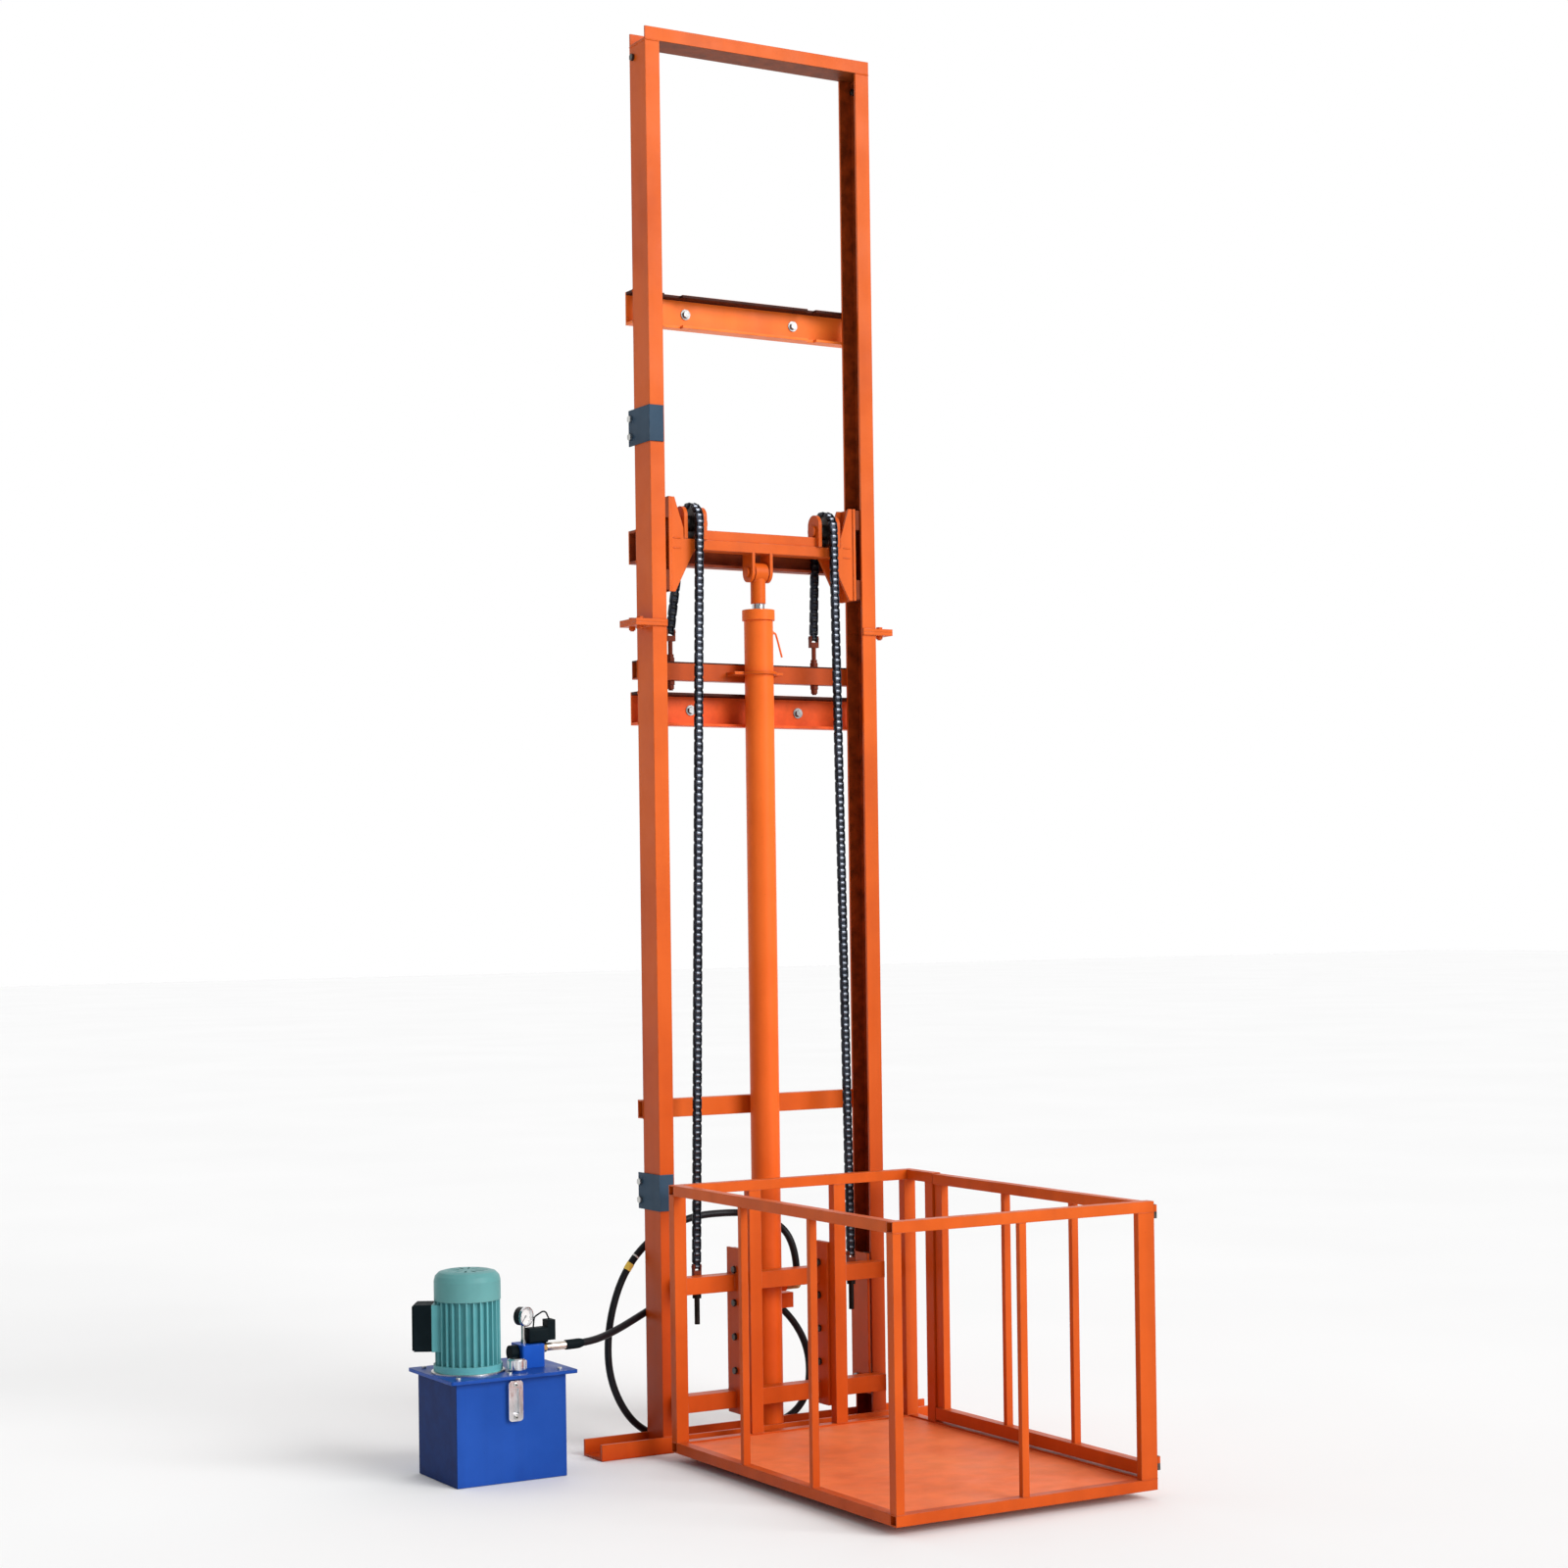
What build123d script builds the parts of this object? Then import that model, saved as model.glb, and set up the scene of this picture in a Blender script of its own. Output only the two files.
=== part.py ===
"""Hydraulic freight lift: twin-column mast, chain-hung loading cage and separate power unit.

Millimetres. X runs across the mast, Y from the cage back to the wall, Z up.
The origin is on the floor under the middle of the base beam.
"""

import os
from math import atan2, cos, degrees, pi, radians, sin, sqrt, tan

from build123d import *

os.makedirs("parts", exist_ok=True)

# Mast
mast_half = 392.0
col_depth = 100.0
col_flange = 48.0
col_web = 5.5
col_wall = 8.0
mast_h = 4200.0
joint_z = 2465.0
joint_t = 10.0
joint_tab = 58.0
joint_front = 6.0
base_len = 1200.0
base_depth = 120.0
base_h = 48.0
base_web = 6.0
base_wall = 9.0
top_h = 40.0
top_web = 6.0
anchor_x = 545.0
anchor_y = 28.0
anchor_r = 7.0
stop_y = 28.0
stop_z = 4165.0
bolt_r = 6.0
bolt_af = 19.0
bolt_gap = 0.5

# Members behind the columns
wall_h = 100.0
wall_depth = 48.0
wall_web = 5.5
wall_flange = 8.0
wall_upper_z = 3424.0
wall_middle_z = 2702.0
wall_lower_z = 2217.0
wall_bolt_x = 190.0
wall_stud = 70.0
shank_r = 6.2
shank_past = 0.2
hold_h = 56.0
hold_depth = 36.0
hold_z = 2332.0
tie_h = 55.0
tie_depth = 35.0
tie_z = 1013.0
tube_wall = 4.0

# Limit brackets
limit_t = 4.0
limit_h = 108.0
limit_back = 80.0
limit_upper_z = 3058.0
limit_lower_z = 770.0

# Cylinder and ram
cyl_r = 44.5
bore_r = 36.0
cyl_top = 2489.0
cyl_cap = 40.0
gland_r = 50.0
gland_h = 32.0
rod_r = 20.0
slide_gap = 0.05
piston_h = 50.0
port_z = 455.0
stay_z = 408.0
port_len = 17.5
bleed_z = cyl_top - 35.0
clamp_half = 85.0
clamp_z = 2328.0
clamp_t = 9.0
clamp_gap = 0.3
elbow_x = cyl_r + port_len + 43.0
elbow_top = port_z + 23.0
eye_z = 2635.0
eye_r = 30.0

# Roller chain, 19.05 mm pitch
pitch = 19.05
plate_t = 2.4
plate_len = 33.0
plate_in_h = 16.0
plate_out_h = 14.0
roller_r = 5.95
roller_w = 12.4
link_in = 6.3
link_out = 8.95
per_turn = 18
n_rear = 17
n_front = 117
sheave_x = 235.0
sheave_y = -6.5
sheave_z = 2772.0
front_foot_x = 271.0
front_foot_y = -48.0
rear_foot_x = {-1: -270.0, 1: 237.0}
rear_foot_y = 68.0
slot_side = 14.0
slot_upper = 66.0
slot_middle = 76.0
sheave_r = pitch / (2 * sin(pi / per_turn))
front_y = sheave_y - sheave_r
rear_y = sheave_y + sheave_r

# Crosshead
beam_half_y = 29.0
beam_upper_y = 23.0
beam_z = 2692.0
beam_h = 30.0
head_x = 320.0
head_t = 8.0
head_lo = 2561.0
head_hi = 2845.0
gusset_t = 8.0
lug_t = 12.0
lug_r = 32.0
lug_tall = 18.0
pin_r = 12.5
ear_in = 26.0
ear_t = 10.0
sheave_half = 26.0
rim_w = 11.5
head_half_y = 41.0
shoe_h = 60.0
shoe_gap = 0.3

# Carriage
rail_half = 355.0
rail_back = -62.0
rail_front = -110.0
rail_h = 50.0
rail_upper_z = 495.0
rail_lower_z = 147.0
plate_lo = 105.0
plate_hi = 598.0
plate_front = -156.0
plate_thick = 8.0
hang_back = -84.0
hang_gap = 3.0
hang_bolt_y = -110.0
hang_bolt_z = (534.0, 435.0, 334.0, 233.0)
side_x = 322.0
side_t = 8.0
wheel_r = 41.0
wheel_x0 = 350.0
wheel_x1 = 380.0
axle_r = 12.0
lug_plate_z = 478.0
front_rod = 8.0
rear_rod = 7.0

# Cage
cage_half = 420.0
cage_rear = -158.0
cage_front = -1368.0
cage_lo = 25.0
cage_hi = 805.0
cage_tube = 30.0
cage_wall = 3.0
post_w = 40.0
mid_post = 147.0
bar_x = 22.0
bar_y = 16.0
left_bars = (-582.0, -956.0)
right_bars = (-693.0, -1023.0)
front_bar = -25.0
floor_z = 46.0
floor_t = 4.0
front_left_post = 26.0
front_right_post = 54.0
front_post_depth = 20.0

# Gate in the right side of the cage, hinged at the front corner
gate_post_y = -287.0
gate_post_d = 41.0
gate_gap = 3.0
gate_lo = 62.0
gate_hi = 802.0
gate_rail = 30.0
gate_foot = 36.0
gate_stile_x = 24.0
rear_stile_y = 38.0
front_stile_y = 22.0
hinge_x = 429.0
hinge_y = -1356.0
knuckle_r = 8.0
knuckle_h = 18.0
hinge_pin_r = 4.0
hinge_zs = (757.0, 76.0)

# Power unit
tank_x0 = -1112.0
tank_x1 = -772.0
tank_y0 = -179.0
tank_y1 = 89.0
tank_h = 292.0
tank_t = 3.0
cover_t = 10.0
cover_x0 = -1133.0
cover_x1 = -742.0
cover_y0 = -198.0
cover_y1 = 113.0
motor_x = -1015.0
motor_y = -45.0
motor_r = 80.0
fin_r = 93.0
fin_n = 28
shaft_r = 12.0
motor_top = 508.0
cowl_top = 591.0
cowl_r = 95.0
cowl_t = 3.0
cowl_round = 28.0
gear_n = 12
gear_m = 3.0
tooth_root = 10.2
tooth_tip = 3.0
block_x = -834.0
block_y = -60.0
block_w = 70.0
block_d = 80.0
block_h = 66.0
gauge_r = 28.0
gauge_x = -848.0
gauge_stem = 50.0
gauge_turn = radians(25.0)
fit_z = 352.0
fit_len = 84.0
flange_t = 24.0
rotor_r = 60.0
box_turn = radians(149.6)
box_half = 50.0
pad_r = 97.0
box_r = 148.0
lid_r = 153.0
box_z0 = 365.0
box_z1 = 498.0
tank_lip = 24.0
filler_x = -902.0
filler_y = -130.0
neck_r = 18.0
level_x = -935.0
level_z = 230.0
screw_in = 13.0
hose_r = 11.0

# Derived levels
col_back = col_depth / 2
cav_half = col_depth / 2 - col_wall
col_in = mast_half - col_flange
beam_top = beam_z + 2 * beam_h
cover_top = tank_h + cover_t
screw_spots = [
    (x, y)
    for x in (tank_x0 + screw_in, (tank_x0 + tank_x1) / 2, tank_x1 - screw_in)
    for y in (tank_y0 + screw_in, tank_y1 - screw_in)
]


def strand_drop(links, dx, dy):
    return sqrt((links * pitch) ** 2 - dx**2 - dy**2)


front_pin_z = sheave_z - strand_drop(n_front, front_foot_x - sheave_x, front_foot_y - front_y)
rear_pin_z = {
    side: sheave_z - pitch - strand_drop(n_rear - 1, x - side * sheave_x, rear_foot_y - rear_y)
    for side, x in rear_foot_x.items()
}


def save(part, label):
    part.part.label = label
    export_step(part.part, f"parts/{label}.step")


def block(x0, x1, y0, y1, z0, z1, mode=Mode.ADD):
    with Locations(((x0 + x1) / 2, (y0 + y1) / 2, (z0 + z1) / 2)):
        Box(abs(x1 - x0), abs(y1 - y0), abs(z1 - z0), mode=mode)


def tube(plane, u, v, width, height, length, wall):
    with BuildSketch(plane) as section:
        with Locations((u, v)):
            Rectangle(width, height)
            Rectangle(width - 2 * wall, height - 2 * wall, mode=Mode.SUBTRACT)
    extrude(section.sketch, amount=length)


def tube_x(x0, x1, y0, y1, z0, z1, wall):
    plane = Plane.YZ.offset(x0)
    tube(plane, (y0 + y1) / 2, (z0 + z1) / 2, y1 - y0, z1 - z0, x1 - x0, wall)


def tube_y(x0, x1, y0, y1, z0, z1, wall):
    plane = Plane.XZ.offset(-y1)
    tube(plane, (x0 + x1) / 2, (z0 + z1) / 2, x1 - x0, z1 - z0, y1 - y0, wall)


def tube_z(x0, x1, y0, y1, z0, z1, wall):
    plane = Plane.XY.offset(z0)
    tube(plane, (x0 + x1) / 2, (y0 + y1) / 2, x1 - x0, y1 - y0, z1 - z0, wall)


def disc_x(x0, x1, y, z, r, mode=Mode.ADD):
    with BuildSketch(Plane.YZ.offset(x0)) as section:
        with Locations((y, z)):
            Circle(r)
    extrude(section.sketch, amount=x1 - x0, mode=mode)


def disc_z(x, y, z0, z1, r, mode=Mode.ADD):
    with BuildSketch(Plane.XY.offset(z0)) as section:
        with Locations((x, y)):
            Circle(r)
    extrude(section.sketch, amount=z1 - z0, mode=mode)


def hexagon(plane, across, height):
    with BuildSketch(plane) as section:
        RegularPolygon(across / sqrt(3), 6)
    extrude(section.sketch, amount=height)


def round_bar(plane, r, length):
    with BuildSketch(plane) as section:
        Circle(r)
    extrude(section.sketch, amount=length)


def bolt(at, way, grip, tail=12.0):
    """One bolt with its nut: head at the point, shank against the way it points."""
    head = Plane(origin=at, z_dir=way)
    hexagon(head, bolt_af, 8.0)
    round_bar(head, bolt_r, -(grip + tail))
    hexagon(head.offset(-grip - 9.0), bolt_af, 9.0)


# Base beam: a channel on its back with anchor holes in both overhanging ends
with BuildPart() as base_beam:
    with BuildSketch(Plane.YZ.offset(-base_len / 2)):
        with Locations((0, base_h / 2)):
            Rectangle(base_depth, base_h)
        with Locations((0, base_web + base_h / 2)):
            Rectangle(base_depth - 2 * base_wall, base_h, mode=Mode.SUBTRACT)
    extrude(amount=base_len)
    with BuildSketch(Plane.XY):
        with GridLocations(2 * anchor_x, 2 * anchor_y, 2, 2):
            Circle(anchor_r)
    extrude(amount=base_web, mode=Mode.SUBTRACT)
save(base_beam, "base_beam")


def column(side, z0, z1, plate_z):
    """One column length with its joint plate; the open side faces the other column."""
    cavity_x = side * (mast_half - col_web - (col_flange - col_web) / 2)
    with BuildSketch(Plane.XY.offset(z0)) as channel:
        with Locations((side * (mast_half - col_flange / 2), 0)):
            Rectangle(col_flange, col_depth)
        with Locations((cavity_x, 0)):
            Rectangle(col_flange - col_web, 2 * cav_half, mode=Mode.SUBTRACT)
    extrude(channel.sketch, amount=z1 - z0)
    with BuildSketch(Plane.XY.offset(plate_z)) as plate:
        with Locations((side * (mast_half + (joint_tab - col_flange) / 2), -joint_front / 2)):
            Rectangle(joint_tab + col_flange, col_depth + joint_front)
        with Locations((cavity_x, 0)):
            Rectangle(col_flange - col_web, 2 * cav_half, mode=Mode.SUBTRACT)
        with Locations(*[(side * (mast_half + joint_tab / 2), y) for y in (-col_depth / 4, col_depth / 4)]):
            Circle(bolt_r + bolt_gap, mode=Mode.SUBTRACT)
    extrude(plate.sketch, amount=joint_t)


# Columns in two lengths
with BuildPart() as columns_lower:
    for side in (-1, 1):
        column(side, base_web, joint_z, joint_z - joint_t)
save(columns_lower, "columns_lower")

with BuildPart() as columns_upper:
    for side in (-1, 1):
        column(side, joint_z, mast_h, joint_z)
    disc_x(-mast_half - 1, mast_half + 1, stop_y, stop_z, bolt_r + bolt_gap, Mode.SUBTRACT)
save(columns_upper, "columns_upper")

# Top beam: a channel open upward, lying on both columns
with BuildPart() as top_beam:
    with BuildSketch(Plane.YZ.offset(-mast_half)):
        with Locations((0, mast_h + top_h / 2)):
            Rectangle(col_depth, top_h)
        with Locations((0, mast_h + top_web + top_h / 2)):
            Rectangle(col_depth - 2 * col_web, top_h, mode=Mode.SUBTRACT)
    extrude(amount=2 * mast_half)
save(top_beam, "top_beam")

# Joint bolts, end stop bolts and bracket bolts
with BuildPart() as mast_bolts:
    for side in (-1, 1):
        for y in (-col_depth / 4, col_depth / 4):
            bolt((side * (mast_half + joint_tab / 2), y, joint_z + joint_t), (0, 0, 1), 2 * joint_t)
        bolt((side * mast_half, stop_y, stop_z), (side, 0, 0), col_web)
    for z in (limit_upper_z, limit_lower_z):
        for dz in (-limit_h / 4, limit_h / 4):
            head_at = (-mast_half - limit_t, (col_back + limit_back) / 2, z + dz)
            bolt(head_at, (-1, 0, 0), limit_t, 10.0)
save(mast_bolts, "mast_bolts")

wall_bolt_spots = [(x, z) for x in (-wall_bolt_x, wall_bolt_x) for z in (wall_upper_z, wall_lower_z)]

# Wall channels: web against the wall, flanges forward, with slots where the chains pass
with BuildPart() as wall_channels:
    for z in (wall_upper_z, wall_middle_z, wall_lower_z):
        with BuildSketch(Plane.YZ.offset(-mast_half)):
            with Locations((col_back + wall_depth / 2, z)):
                Rectangle(wall_depth, wall_h)
            with Locations((col_back + (wall_depth - wall_web) / 2, z)):
                Rectangle(wall_depth - wall_web, wall_h - 2 * wall_flange, mode=Mode.SUBTRACT)
        extrude(amount=2 * mast_half)
    for z, back in ((wall_upper_z, slot_upper), (wall_middle_z, slot_middle)):
        for side, foot_x in rear_foot_x.items():
            x0 = min(side * sheave_x, foot_x) - slot_side
            x1 = max(side * sheave_x, foot_x) + slot_side
            block(x0, x1, col_back, back, z - wall_h, z + wall_h, Mode.SUBTRACT)
    with BuildSketch(Plane.XZ.offset(-col_back - wall_depth)):
        with Locations(*wall_bolt_spots):
            Circle(bolt_r + bolt_gap)
    extrude(amount=wall_web, mode=Mode.SUBTRACT)
save(wall_channels, "wall_channels")

# Wall anchor bolts with washers, standing out of the channel backs
with BuildPart() as wall_bolts:
    for x, z in wall_bolt_spots:
        seat = Plane(origin=(x, col_back + wall_depth - wall_web, z), z_dir=(0, -1, 0))
        round_bar(seat, 16.0, 3.0)
        hexagon(seat.offset(3.0), bolt_af, 8.0)
        round_bar(seat, shank_r, -(wall_web + shank_past))
        round_bar(seat, bolt_r, -(wall_web + wall_stud))
save(wall_bolts, "wall_bolts")

# Box section that holds the fixed chain ends and the top of the cylinder
with BuildPart() as anchor_section:
    hold_lo = hold_z - hold_h / 2
    tube_x(-mast_half, mast_half, col_back, col_back + hold_depth, hold_lo, hold_lo + hold_h, tube_wall)
    for x in rear_foot_x.values():
        disc_z(x, rear_foot_y, hold_z - hold_h, hold_z + hold_h, rear_rod + 0.3, Mode.SUBTRACT)
save(anchor_section, "anchor_section")

with BuildPart() as tie_bar:
    tie_lo = tie_z - tie_h / 2
    tube_x(-mast_half, mast_half, col_back, col_back + tie_depth, tie_lo, tie_lo + tie_h, tube_wall)
save(tie_bar, "tie_bar")

# Limit brackets: bent sheets on the outside and front of the left column
with BuildPart() as limit_brackets:
    for z in (limit_upper_z, limit_lower_z):
        with BuildSketch(Plane.XY.offset(z - limit_h / 2)):
            with BuildLine():
                Polyline(
                    (-mast_half - limit_t, -col_back - limit_t),
                    (-col_in - 4, -col_back - limit_t),
                    (-col_in - 4, -col_back),
                    (-mast_half, -col_back),
                    (-mast_half, limit_back),
                    (-mast_half - limit_t, limit_back),
                    close=True,
                )
            make_face()
        extrude(amount=limit_h)
    for z in (limit_upper_z, limit_lower_z):
        for dz in (-limit_h / 4, limit_h / 4):
            y = (col_back + limit_back) / 2
            disc_x(-mast_half - limit_t, -mast_half, y, z + dz, bolt_r + bolt_gap, Mode.SUBTRACT)
save(limit_brackets, "limit_brackets")

# Cylinder tube with closed foot, side port, cross stay and bleed pipe
with BuildPart() as cylinder_tube:
    disc_z(0, 0, base_web, cyl_top, cyl_r)
    disc_x(0, cyl_r + port_len, 0, port_z, 16.0)
    block(-100, 100, 14, col_back, stay_z - 23, stay_z + 23)
    disc_x(0, cyl_r + 6, 0, bleed_z, 7.0)
    with BuildLine():
        FilletPolyline(
            (cyl_r, 0, bleed_z),
            (cyl_r + 15, 0, bleed_z),
            (cyl_r + 24, 0, bleed_z - 28),
            (cyl_r + 37, 0, bleed_z - 74),
            radius=9.0,
        )
    with BuildSketch(Plane(origin=(cyl_r, 0, bleed_z), z_dir=(1, 0, 0))):
        Circle(3.0)
    sweep()
    disc_z(0, 0, base_web + cyl_cap, cyl_top, bore_r, Mode.SUBTRACT)
    disc_x(0, cyl_r + port_len, 0, port_z, 6.0, Mode.SUBTRACT)
save(cylinder_tube, "cylinder_tube")

with BuildPart() as cylinder_gland:
    disc_z(0, 0, cyl_top, cyl_top + gland_h, gland_r)
    disc_z(0, 0, cyl_top - 40, cyl_top, bore_r - slide_gap)
    disc_z(0, 0, cyl_top - 40, cyl_top + gland_h, rod_r + slide_gap, Mode.SUBTRACT)
save(cylinder_gland, "cylinder_gland")

# Collar plate that ties the top of the cylinder to the box section
with BuildPart() as cylinder_clamp:
    with BuildSketch(Plane.XY.offset(clamp_z - clamp_t / 2)):
        with Locations((0, col_back / 2)):
            Rectangle(2 * clamp_half, col_back)
        Circle(cyl_r + 9.0)
        Circle(cyl_r + clamp_gap, mode=Mode.SUBTRACT)
        with Locations((0, col_back + hold_depth / 2)):
            Rectangle(2 * clamp_half, hold_depth, mode=Mode.SUBTRACT)
    extrude(amount=clamp_t)
save(cylinder_clamp, "cylinder_clamp")

# Hose fittings: straight one on the valve block, elbow on the cylinder port
with BuildPart() as hose_fittings:
    fit_plane = Plane(origin=(block_x + block_w / 2, block_y, fit_z), z_dir=(1, 0, 0))
    hexagon(fit_plane, 26.0, 22.0)
    round_bar(fit_plane, hose_r + 1.0, fit_len)
    disc_x(cyl_r + port_len, elbow_x, 0, port_z, 12.0)
    with Locations((elbow_x, 0, port_z)):
        Sphere(12.0)
    disc_z(elbow_x, 0, port_z, elbow_top, 12.0)
    hexagon(Plane.XY.offset(elbow_top - 12).shift_origin((elbow_x, 0, elbow_top - 12)), 30.0, 12.0)
save(hose_fittings, "hose_fittings")

# Hydraulic hose, with one loose turn behind the mast
hose_points = [
    (block_x + block_w / 2 + fit_len, block_y, fit_z),
    (-640, block_y, fit_z),
    (-520, 15, 362),
    (-395, 66, 399),
    (-278, 70, 452),
    (-157, 72, 472),
    (0, 72, 440),
    (122, 72, 357),
    (195, 74, 230),
    (181, 74, 80),
    (70, 76, 14),
    (-120, 84, 13),
    (-300, 80, 14),
    (-420, 82, 60),
    (-500, 85, 200),
    (-505, 85, 360),
    (-455, 83, 520),
    (-360, 79, 625),
    (-227, 76, 680),
    (-95, 74, 684),
    (20, 66, 674),
    (elbow_x, 0, 600),
    (elbow_x, 0, elbow_top),
]


def bend_radii(points):
    """Radius of each bend: as large as the two runs beside it allow."""
    radii = []
    for a, b, c in zip(points, points[1:], points[2:]):
        run_in = Vector(*b) - Vector(*a)
        run_out = Vector(*c) - Vector(*b)
        turn = radians(run_in.get_angle(run_out))
        radii.append(0.45 * min(run_in.length, run_out.length) / tan(turn / 2))
    return radii


hose_radii = bend_radii(hose_points)
with BuildPart() as hydraulic_hose:
    with BuildLine() as hose_path:
        FilletPolyline(*hose_points, radius=hose_radii)
    hose_line = hose_path.wires()[0]
    with BuildSketch(Plane(origin=hose_line @ 0, z_dir=hose_line % 0)):
        Circle(hose_r)
    sweep()
save(hydraulic_hose, "hydraulic_hose")

hose_steps = 160
hose_walk = [hose_line @ (i / hose_steps) for i in range(hose_steps + 1)]
apart = 12
least_gap = min(
    (p - q).length
    for i, p in enumerate(hose_walk)
    for q in hose_walk[i + apart:]
) - 2 * hose_r
print("hose length", round(hose_line.length, 1), "least gap to itself", round(least_gap, 1))
print("hose radii", [round(r) for r in hose_radii])
print("hose volume ratio", hydraulic_hose.part.volume / (pi * hose_r**2 * hose_line.length))


def chain_links(base, pins, first, rollers):
    """Links between pins that lie in one plane: inner and outer plates in turn, and rollers."""
    kinds = ((link_in, plate_in_h), (link_out, plate_out_h))
    for kind, (gap, height) in enumerate(kinds):
        spans = [i for i in range(len(pins) - 1) if (i + first) % 2 == kind]
        for start in (gap, -gap - plate_t) if spans else ():
            with BuildSketch(base.offset(start)) as plates:
                for i in spans:
                    (u0, v0), (u1, v1) = pins[i], pins[i + 1]
                    slope = degrees(atan2(v1 - v0, u1 - u0))
                    with Locations(Location(((u0 + u1) / 2, (v0 + v1) / 2, 0), (0, 0, slope))):
                        Rectangle(plate_len, height)
            extrude(plates.sketch, amount=plate_t)
    with BuildSketch(base.offset(-roller_w / 2)) as ends:
        with Locations(*rollers):
            RegularPolygon(roller_r, 6)
    extrude(ends.sketch, amount=roller_w)


def strand(top, foot, links, first):
    """Straight run of chain, with its pins as nearly level as the lean allows."""
    down = (Vector(*foot) - Vector(*top)).normalized()
    across = (Vector(1, 0, 0) - down * down.X).normalized()
    pins = [(0, -i * pitch) for i in range(links + 1)]
    chain_links(Plane(origin=top, x_dir=across.cross(down), z_dir=across), pins, first, pins[1:])


# Rear strands: one upright link below each sheave, then down to the fixed ends
with BuildPart() as rear_chains:
    for side, x in rear_foot_x.items():
        top = (side * sheave_x, rear_y, sheave_z)
        knee = (side * sheave_x, rear_y, sheave_z - pitch)
        strand(top, knee, 1, 0)
        strand(knee, (x, rear_foot_y, rear_pin_z[side]), n_rear - 1, 1)
save(rear_chains, "rear_chains")

# Chain over the sheaves
with BuildPart() as chain_wraps:
    for side in (-1, 1):
        angles = [2 * pi * i / per_turn for i in range(per_turn // 2 + 1)]
        pins = [(sheave_y + sheave_r * cos(a), sheave_z + sheave_r * sin(a)) for a in angles]
        chain_links(Plane.YZ.offset(side * sheave_x), pins, 1, pins)
save(chain_wraps, "chain_wraps")

# Front strands: from the sheaves down to the carriage, leaning outward a little
with BuildPart() as front_chains:
    for side in (-1, 1):
        foot = (side * front_foot_x, front_foot_y, front_pin_z)
        strand((side * sheave_x, front_y, sheave_z), foot, n_front, 0)
save(front_chains, "front_chains")


def chain_end(x, y, z, foot, rod, room):
    """Clevis on the last pin of a chain, with its rod."""
    width = link_in + plate_t + 3.2 + room
    block(x - width, x + width, y - 8, y + 8, z - 28, z - 12)
    for way in (-1, 1):
        cheek = x + way * (width - 1.6)
        block(cheek - 1.6, cheek + 1.6, y - 8, y + 8, z - 12, z + 8)
        pin_x = x + way * (width + 1.5)
        disc_x(pin_x - 1.5, pin_x + 1.5, y, z, 4.5)
    disc_z(x, y, foot, z - 28, rod)


# Fixed chain ends in the box section
with BuildPart() as rear_chain_anchors:
    for side, x in rear_foot_x.items():
        chain_end(x, rear_foot_y, rear_pin_z[side], hold_z - hold_h / 2 - 30, rear_rod, 2.2)
        top = Plane(origin=(x, rear_foot_y, hold_z + hold_h / 2), z_dir=(0, 0, 1))
        hexagon(top, 24.0, 13.0)
        hexagon(top.offset(13.0), 20.0, 10.0)
        low = Plane(origin=(x, rear_foot_y, hold_z - hold_h / 2), z_dir=(0, 0, -1))
        hexagon(low, 24.0, 13.0)
        hexagon(low.offset(13.0), 20.0, 13.0)
save(rear_chain_anchors, "rear_chain_anchors")

# Crosshead weldment
with BuildPart() as crosshead_frame:
    tube_x(-head_x, head_x, -beam_half_y, beam_half_y, beam_z, beam_z + beam_h, tube_wall)
    inner_lug = sheave_x - sheave_half - 1.0 - lug_t
    outer_lug = sheave_x + sheave_half + 1.0
    tube_x(-inner_lug, inner_lug, -beam_upper_y, beam_upper_y, beam_z + beam_h, beam_top, tube_wall)
    for side in (-1, 1):
        block(side * head_x, side * (head_x + head_t), -head_half_y, head_half_y, head_lo, head_hi)
        for y in (-beam_half_y, beam_half_y + gusset_t):
            with BuildSketch(Plane.XZ.offset(-y)):
                with BuildLine():
                    Polyline(
                        (side * head_x, head_hi),
                        (side * (head_x - 14), head_hi),
                        (side * (head_x - 44), beam_top),
                        (side * (head_x - 44), beam_z + beam_h),
                        (side * (head_x - 82), beam_z + beam_h),
                        (side * (head_x - 82), beam_z),
                        (side * (head_x - 14), head_lo),
                        (side * head_x, head_lo),
                        close=True,
                    )
                make_face()
            extrude(amount=gusset_t)
        for x0 in (inner_lug, outer_lug):
            start = side * x0 if side > 0 else -x0 - lug_t
            with BuildSketch(Plane.YZ.offset(start)):
                round_z = sheave_z + lug_tall
                foot = beam_z + beam_h
                with Locations((sheave_y, round_z)):
                    Circle(lug_r)
                with Locations((sheave_y, (foot + round_z) / 2)):
                    Rectangle(2 * lug_r, round_z - foot)
            extrude(amount=lug_t)
        start = ear_in if side > 0 else -ear_in - ear_t
        with BuildSketch(Plane.YZ.offset(start)):
            with Locations((0, eye_z)):
                Circle(eye_r)
            with Locations((0, (eye_z + beam_z) / 2)):
                Rectangle(2 * eye_r, beam_z - eye_z)
        extrude(amount=ear_t)
    for side in (-1, 1):
        x0 = side * sheave_x
        disc_x(x0 - 60, x0 + 60, sheave_y, sheave_z, pin_r + slide_gap, Mode.SUBTRACT)
    disc_x(-60, 60, 0, eye_z, pin_r + slide_gap, Mode.SUBTRACT)
save(crosshead_frame, "crosshead_frame")

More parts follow.
